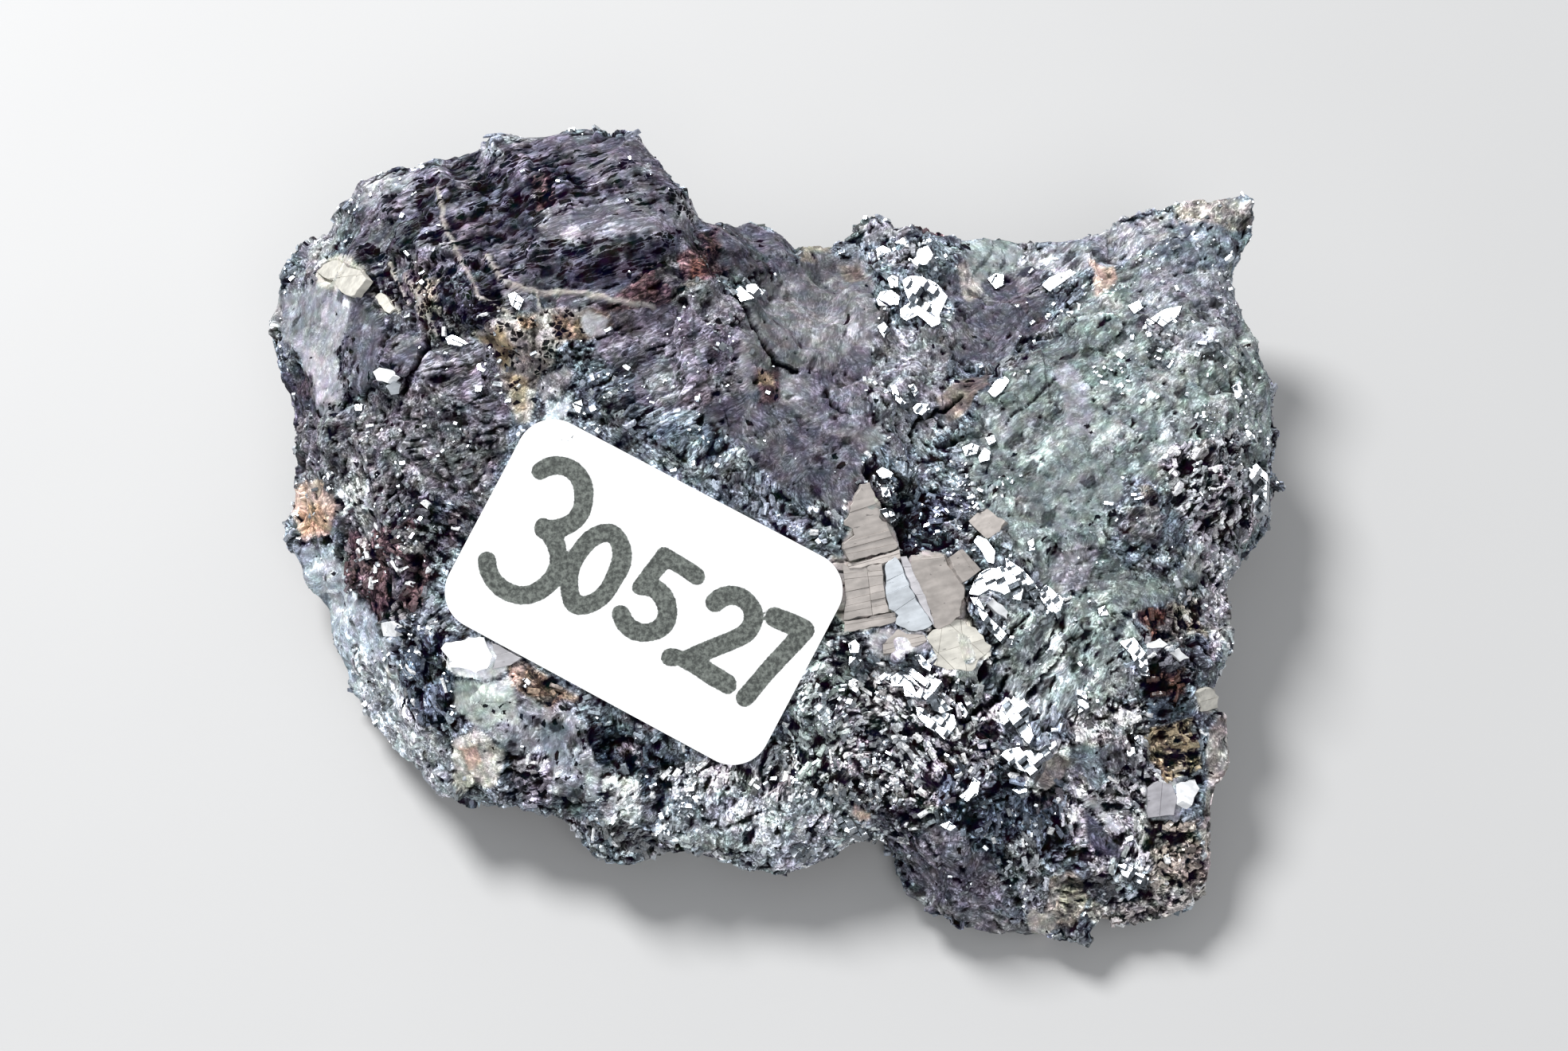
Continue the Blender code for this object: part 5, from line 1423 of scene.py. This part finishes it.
class Nodes:
    """A short way to write a material's nodes."""

    def __init__(self, name):
        self.material = bpy.data.materials.new(name)
        self.material.use_nodes = True
        self.tree = self.material.node_tree
        self.shader = self.tree.nodes["Principled BSDF"]
        self.place = self.add("TexCoord").outputs["Object"]

    def set(self, node, name, value):
        socket = node.inputs[int(name) if name.isdigit() else name]
        if isinstance(value, bpy.types.NodeSocket):
            self.tree.links.new(value, socket)
        else:
            socket.default_value = value

    def add(self, kind, settings=None, **inputs):
        node = self.tree.nodes.new("ShaderNode" + kind)
        for name, value in (settings or {}).items():
            setattr(node, name, value)
        for name, value in inputs.items():
            self.set(node, name, value)
        return node

    def shade(self, **inputs):
        """Sets inputs of the surface's shader."""
        for name, value in inputs.items():
            self.set(self.shader, name.replace("_", " "), value)

    def math(self, operation, *values, clamp=False):
        node = self.add("Math", {"operation": operation, "use_clamp": clamp})
        for i, value in enumerate(values):
            self.set(node, str(i), value)
        return node.outputs[0]

    def times(self, first, *others):
        for other in others:
            first = self.math("MULTIPLY", first, other)
        return first

    def dimmed(self, light, mask, most):
        """The light, with that share of it taken away where the mask is 1."""
        return self.times(light, self.math("MULTIPLY_ADD", mask, -most, 1.0))

    def vector(self, operation, first, second=(0, 0, 0), scale=None):
        node = self.add("VectorMath", {"operation": operation})
        self.set(node, "0", first)
        if scale is None:
            self.set(node, "1", second)
        else:
            self.set(node, "Scale", scale)
        return node.outputs[0]

    def mix(self, share, first, second):
        node = self.add("Mix", {"data_type": "RGBA"}, **{"0": share, "6": first, "7": second})
        return node.outputs[2]

    def spread(self, value, low, high, to_low=0.0, to_high=1.0):
        """Maps a range to another, held at its ends."""
        node = self.add("MapRange", {"interpolation_type": "SMOOTHSTEP"})
        for i, number in enumerate((value, low, high, to_low, to_high)):
            self.set(node, str(i), number)
        return node.outputs[0]

    def split(self, colour):
        """The three numbers of a colour."""
        node = self.add("SeparateColor")
        self.tree.links.new(colour, node.inputs[0])
        return node.outputs

    def parts(self, name):
        """A painted attribute, whole and as its three numbers."""
        source = self.add("Attribute", {"attribute_name": name})
        return source.outputs["Color"], self.split(source.outputs["Color"])

    def voronoi(self, vector, size, feature="F1"):
        """Cells of that size: the three numbers of each as a colour, or how far its edge is."""
        node = self.add("TexVoronoi", {"feature": feature}, Scale=1 / size, Vector=vector)
        return node.outputs["Color" if feature == "F1" else "Distance"]

    def noise(self, vector, size, detail=2.0, roughness=0.5, output="Fac"):
        settings = {"Scale": 1 / size, "Detail": detail, "Roughness": roughness}
        return self.add("TexNoise", None, Vector=vector, **settings).outputs[output]

    def cloud(self, size, span, to, detail=2.0, roughness=0.5, vector=None):
        """Patches of that size: a noise, with a span of it mapped to another range."""
        noise = self.noise(vector or self.place, size, detail, roughness)
        return self.spread(noise, *span, *to)

    def filigree(self, vector, size, seed, half_width):
        """1 on thin winding lines: where a noise crosses its middle."""
        moved = self.vector("ADD", vector, (seed, seed, seed))
        off = self.math("ABSOLUTE", self.math("SUBTRACT", self.noise(moved, size, 1.5), 0.5))
        return self.spread(off, half_width * 0.4, half_width, 1.0, 0.0)

    def facing(self, vector, strength):
        """The surface's direction, tilted by random vectors, each a colour from 0 to 1."""
        tilt = self.vector("SUBTRACT", vector, (0.5, 0.5, 0.5))
        normal = self.add("NewGeometry").outputs["Normal"]
        total = self.vector("ADD", normal, self.vector("SCALE", tilt, scale=strength))
        return self.vector("NORMALIZE", total)

    def bumped(self, height, strength, distance, facing=None):
        """Gives the surface's shader its direction: that of its facets, with fine relief."""
        bump = self.add("Bump", Strength=strength, Distance=distance, Height=height)
        if facing:
            self.set(bump, "Normal", facing)
        self.shade(Normal=bump.outputs[0])


def stone_material():
    """Intergrown grey, green and dark minerals: fine grains along the fibres, with painted shade in
    the gaps between them.
    """
    n = Nodes("ore_stone")
    laid = n.add("Attribute", {"attribute_name": "laid"}).outputs["Vector"]
    tone, _ = n.parts("tone")
    _, (smooth, metal, contrast) = n.parts("habit")
    # the skin's painted shade: in gaps and cracks, in wide hollows, and the share of holes
    _, (dark, cavity_shade, holes) = n.parts("hollow")
    waver = n.noise(n.place, WAVER_SIZE, output="Color")
    shift = n.vector("SUBTRACT", waver, (0.5, 0.5, 0.5))
    moved = n.vector("ADD", laid, n.vector("SCALE", shift, scale=WAVER_REACH))

    # ribs with painted shade in the gaps between them, and thin winding lines
    ribs = n.voronoi(moved, RIB_SIZE)
    edge = n.voronoi(moved, RIB_SIZE, "DISTANCE_TO_EDGE")
    rib = n.split(ribs)
    grain = n.spread(rib[0], 0.1, 0.9, 0.45, 1.75)
    streak = n.cloud(0.12 * MM, (0.32, 0.68), (0.5, 1.6), 3.0, 0.6, moved)
    wide = n.cloud(0.5 * MM, (0.42, 0.62), (0.03, 0.24), 3.0)
    gap = n.spread(n.math("DIVIDE", edge, wide), 0.25, 1.0, 0.18, 1.0)
    light = n.times(grain, streak, gap)
    light = n.dimmed(light, n.filigree(moved, 0.34 * MM, 0.0, 0.075), 0.82)
    pale_line = n.filigree(moved, 0.26 * MM, 3.7, 0.055)
    patch = n.cloud(0.9 * MM, (0.38, 0.60), (0.15, 1.3))
    light = n.math("ADD", light, n.times(pale_line, patch))
    light = n.add("Mix", {"data_type": "FLOAT"}, **{"0": contrast, "2": 1.0, "3": light}).outputs[0]

    # painted shade in wide hollows, and clouds over all
    light = n.times(light, n.spread(cavity_shade, 0.0, 1.4, 1.0, 0.55))
    light = n.times(light, n.cloud(1.1 * MM, (0.3, 0.7), (0.78, 1.25), 5.0, 0.6))

    # small holes painted black as shade, with frayed rims, in clusters
    calm = n.vector("ADD", laid, n.vector("MULTIPLY", shift, HOLE_WAVER))
    drawn_out = n.vector("MULTIPLY", calm, (HOLE_SQUEEZE, 1, 1))
    chance = n.split(n.voronoi(drawn_out, HOLE_SIZE))[0]
    rim = n.voronoi(drawn_out, HOLE_SIZE, "DISTANCE_TO_EDGE")
    cluster = n.cloud(1.3 * MM, (0.40, 0.60), (0.35, 1.35))
    empty = n.math("LESS_THAN", chance, n.times(holes, cluster))
    frayed = n.math("MULTIPLY_ADD", n.noise(n.place, 0.10 * MM), 0.16, -0.08)
    hole = n.times(empty, n.spread(n.math("ADD", rim, frayed), 0.03, 0.09))
    light = n.dimmed(light, hole, 0.98)

    # the colour, with a faint hue that the darkest places keep
    hue = n.noise(n.place, 0.7 * MM, 3.0, output="Color")
    tint = n.vector("ADD", n.vector("SCALE", hue, scale=0.28), (0.85, 0.86, 0.87))
    colour = n.vector("MULTIPLY", n.vector("SCALE", tone, scale=light), tint)
    murk = n.vector("MULTIPLY", n.vector("SUBTRACT", hue, (0.40, 0.42, 0.30)), MURK)

    # some ribs shine, and metallic places do all over
    bright = n.math("SUBTRACT", 1.0, n.math("MAXIMUM", dark, hole), clamp=True)
    shine = n.times(n.math("GREATER_THAN", rib[2], 0.80), contrast, 0.5)
    shine = n.math("MAXIMUM", shine, n.times(metal, 0.6))
    rough = n.math("MULTIPLY_ADD", rib[1], 0.3, 0.30)
    n.shade(
        Base_Color=n.vector("ADD", colour, n.vector("MAXIMUM", murk)),
        Metallic=n.math("MULTIPLY", shine, bright, clamp=True),
        Roughness=n.math("MAXIMUM", rough, dark),
        Specular_IOR_Level=0.03,
    )
    tilt = n.math("MULTIPLY_ADD", smooth, -0.40, 0.44)
    height = n.times(streak, gap, n.math("SUBTRACT", 1.1, smooth))
    n.bumped(height, 0.5, 0.05 * MM, n.facing(ribs, tilt))
    return n.material


def slab_material():
    """A flat cleavage face: almost even, with faint steps, fine scratches and pits."""
    n = Nodes("ore_slab")
    tone, _ = n.parts("tone")
    turn = {"rotation_type": "Z_AXIS"}
    spun = n.add("VectorRotate", turn, Vector=n.place, Angle=-math.radians(16)).outputs[0]
    long = n.vector("MULTIPLY", spun, (0.16, 1.0, 1.0))
    line = n.cloud(0.16 * MM, (0.66, 0.71), (1.0, 0.45), 3.0, 0.6, long)
    pale = n.cloud(0.30 * MM, (0.35, 0.65), (0.90, 1.10), vector=long)
    spot = n.cloud(0.14 * MM, (0.70, 0.75), (1.0, 0.4), 2.0, 0.7)
    cloud = n.cloud(0.9 * MM, (0.3, 0.7), (0.86, 1.12), 4.0, 0.6)
    light = n.times(line, spot, pale, cloud)
    n.shade(Base_Color=n.vector("SCALE", tone, scale=light), Metallic=0.1, Roughness=0.48)
    chips = n.voronoi(long, 0.7 * MM)
    n.bumped(n.times(line, pale), 0.35, 0.03 * MM, n.facing(chips, 0.05))
    return n.material


def grain_material():
    """One splinter of mineral: its own colour, with a fine cleavage grain."""
    n = Nodes("ore_grain")
    tone, _ = n.parts("tone")
    _, (_, metal, _) = n.parts("habit")
    speck = n.cloud(0.12 * MM, (0.3, 0.7), (0.55, 1.5), 3.0, 0.6)
    n.shade(
        Base_Color=n.vector("SCALE", tone, scale=speck),
        Metallic=metal,
        Roughness=n.cloud(0.3 * MM, (0.3, 0.7), (0.18, 0.45)),
        Normal=n.facing(n.voronoi(n.place, 0.14 * MM), 0.35),
    )
    return n.material


def galena_material():
    """Bright lead-grey metal with faint steps of cleavage."""
    n = Nodes("ore_galena")
    tone, _ = n.parts("tone")
    cloud = n.cloud(0.4 * MM, (0.3, 0.7), (0.7, 1.1), 3.0)
    n.shade(
        Base_Color=n.vector("SCALE", tone, scale=cloud),
        Metallic=1.0,
        Roughness=n.cloud(0.25 * MM, (0.3, 0.7), (0.16, 0.4)),
        Normal=n.facing(n.voronoi(n.place, 0.2 * MM), 0.16),
    )
    return n.material


def paper_material():
    """Matt white paper with a felt-pen mark that has dried unevenly."""
    n = Nodes("label_paper")
    _, ink = n.parts("ink")
    fibre = n.noise(n.place, 0.35 * MM, 4.0, 0.6)
    white = n.mix(n.spread(fibre, 0.3, 0.7), *PAPER_TONES)
    mark = n.mix(n.cloud(0.22 * MM, (0.35, 0.72), (0.0, 1.0), 3.0, 0.7), *INK_TONES)
    frayed = n.math("MULTIPLY_ADD", n.noise(n.place, 0.12 * MM), 0.3, -0.15)
    inked = n.spread(n.math("ADD", ink[0], frayed), 0.4, 0.6)
    n.shade(Base_Color=n.mix(inked, white, mark), Roughness=n.spread(fibre, 0.3, 0.7, 0.55, 0.75))
    n.bumped(fibre, 0.25, 0.03 * MM)
    return n.material


def floor_material():
    n = Nodes("floor")
    low, high = [(FLOOR_GREY * share,) * 3 + (1,) for share in (0.97, 1.03)]
    n.shade(Base_Color=n.mix(n.noise(n.place, FLOOR_GRAIN), low, high), Roughness=0.7)
    return n.material


def make_floor():
    mesh = bmesh.new()
    bmesh.ops.create_grid(mesh, x_segments=1, y_segments=1, size=FLOOR_HALF)
    data = bpy.data.meshes.new("floor")
    mesh.to_mesh(data)
    mesh.free()
    floor = bpy.data.objects.new("floor", data)
    floor.location.z = -FLOOR_DROP
    bpy.context.collection.objects.link(floor)
    data.materials.append(floor_material())


def make_light():
    sky = bpy.data.worlds.new("sky")
    bpy.context.scene.world = sky
    sky.use_nodes = True
    sky.node_tree.nodes["Background"].inputs["Color"].default_value = SKY_COLOUR
    sky.node_tree.nodes["Background"].inputs["Strength"].default_value = SKY_STRENGTH
    lamps = (
        ("key", TO_LIGHT, LIGHT_DISTANCE, LIGHT_SIZE, LIGHT_POWER),
        ("fill", TO_FILL, FILL_DISTANCE, FILL_SIZE, FILL_POWER),
    )
    for name, toward, distance, size, power in lamps:
        lamp = bpy.data.lights.new(name, "AREA")
        lamp.shape, lamp.size, lamp.energy = "DISK", size, power
        thing = bpy.data.objects.new(name, lamp)
        direction = Vector(unit(toward))
        thing.location = direction * distance
        thing.rotation_mode = "QUATERNION"
        thing.rotation_quaternion = direction.to_track_quat("Z", "Y")
        bpy.context.collection.objects.link(thing)


def make_camera():
    lens = bpy.data.cameras.new("camera")
    lens.lens, lens.sensor_width = LENS, SENSOR
    lens.clip_start, lens.clip_end = 5 * MM, 5.0
    camera = bpy.data.objects.new("camera", lens)
    rows = Matrix((RIGHT, UP, BACK)).transposed()
    camera.matrix_world = Matrix.Translation(Vector(EYE)) @ rows.to_4x4()
    bpy.context.collection.objects.link(camera)
    bpy.context.scene.camera = camera


def main():
    bpy.context.scene.view_settings.view_transform = "Standard"
    make_camera()
    make_light()
    make_floor()
    stone = make_skin(stone_material())
    make_laths(stone, grain_material())
    galena = galena_material()
    make_terraces(stone, galena)
    make_grains(stone, galena)
    make_slabs(stone, slab_material())
    make_label(paper_material())


main()
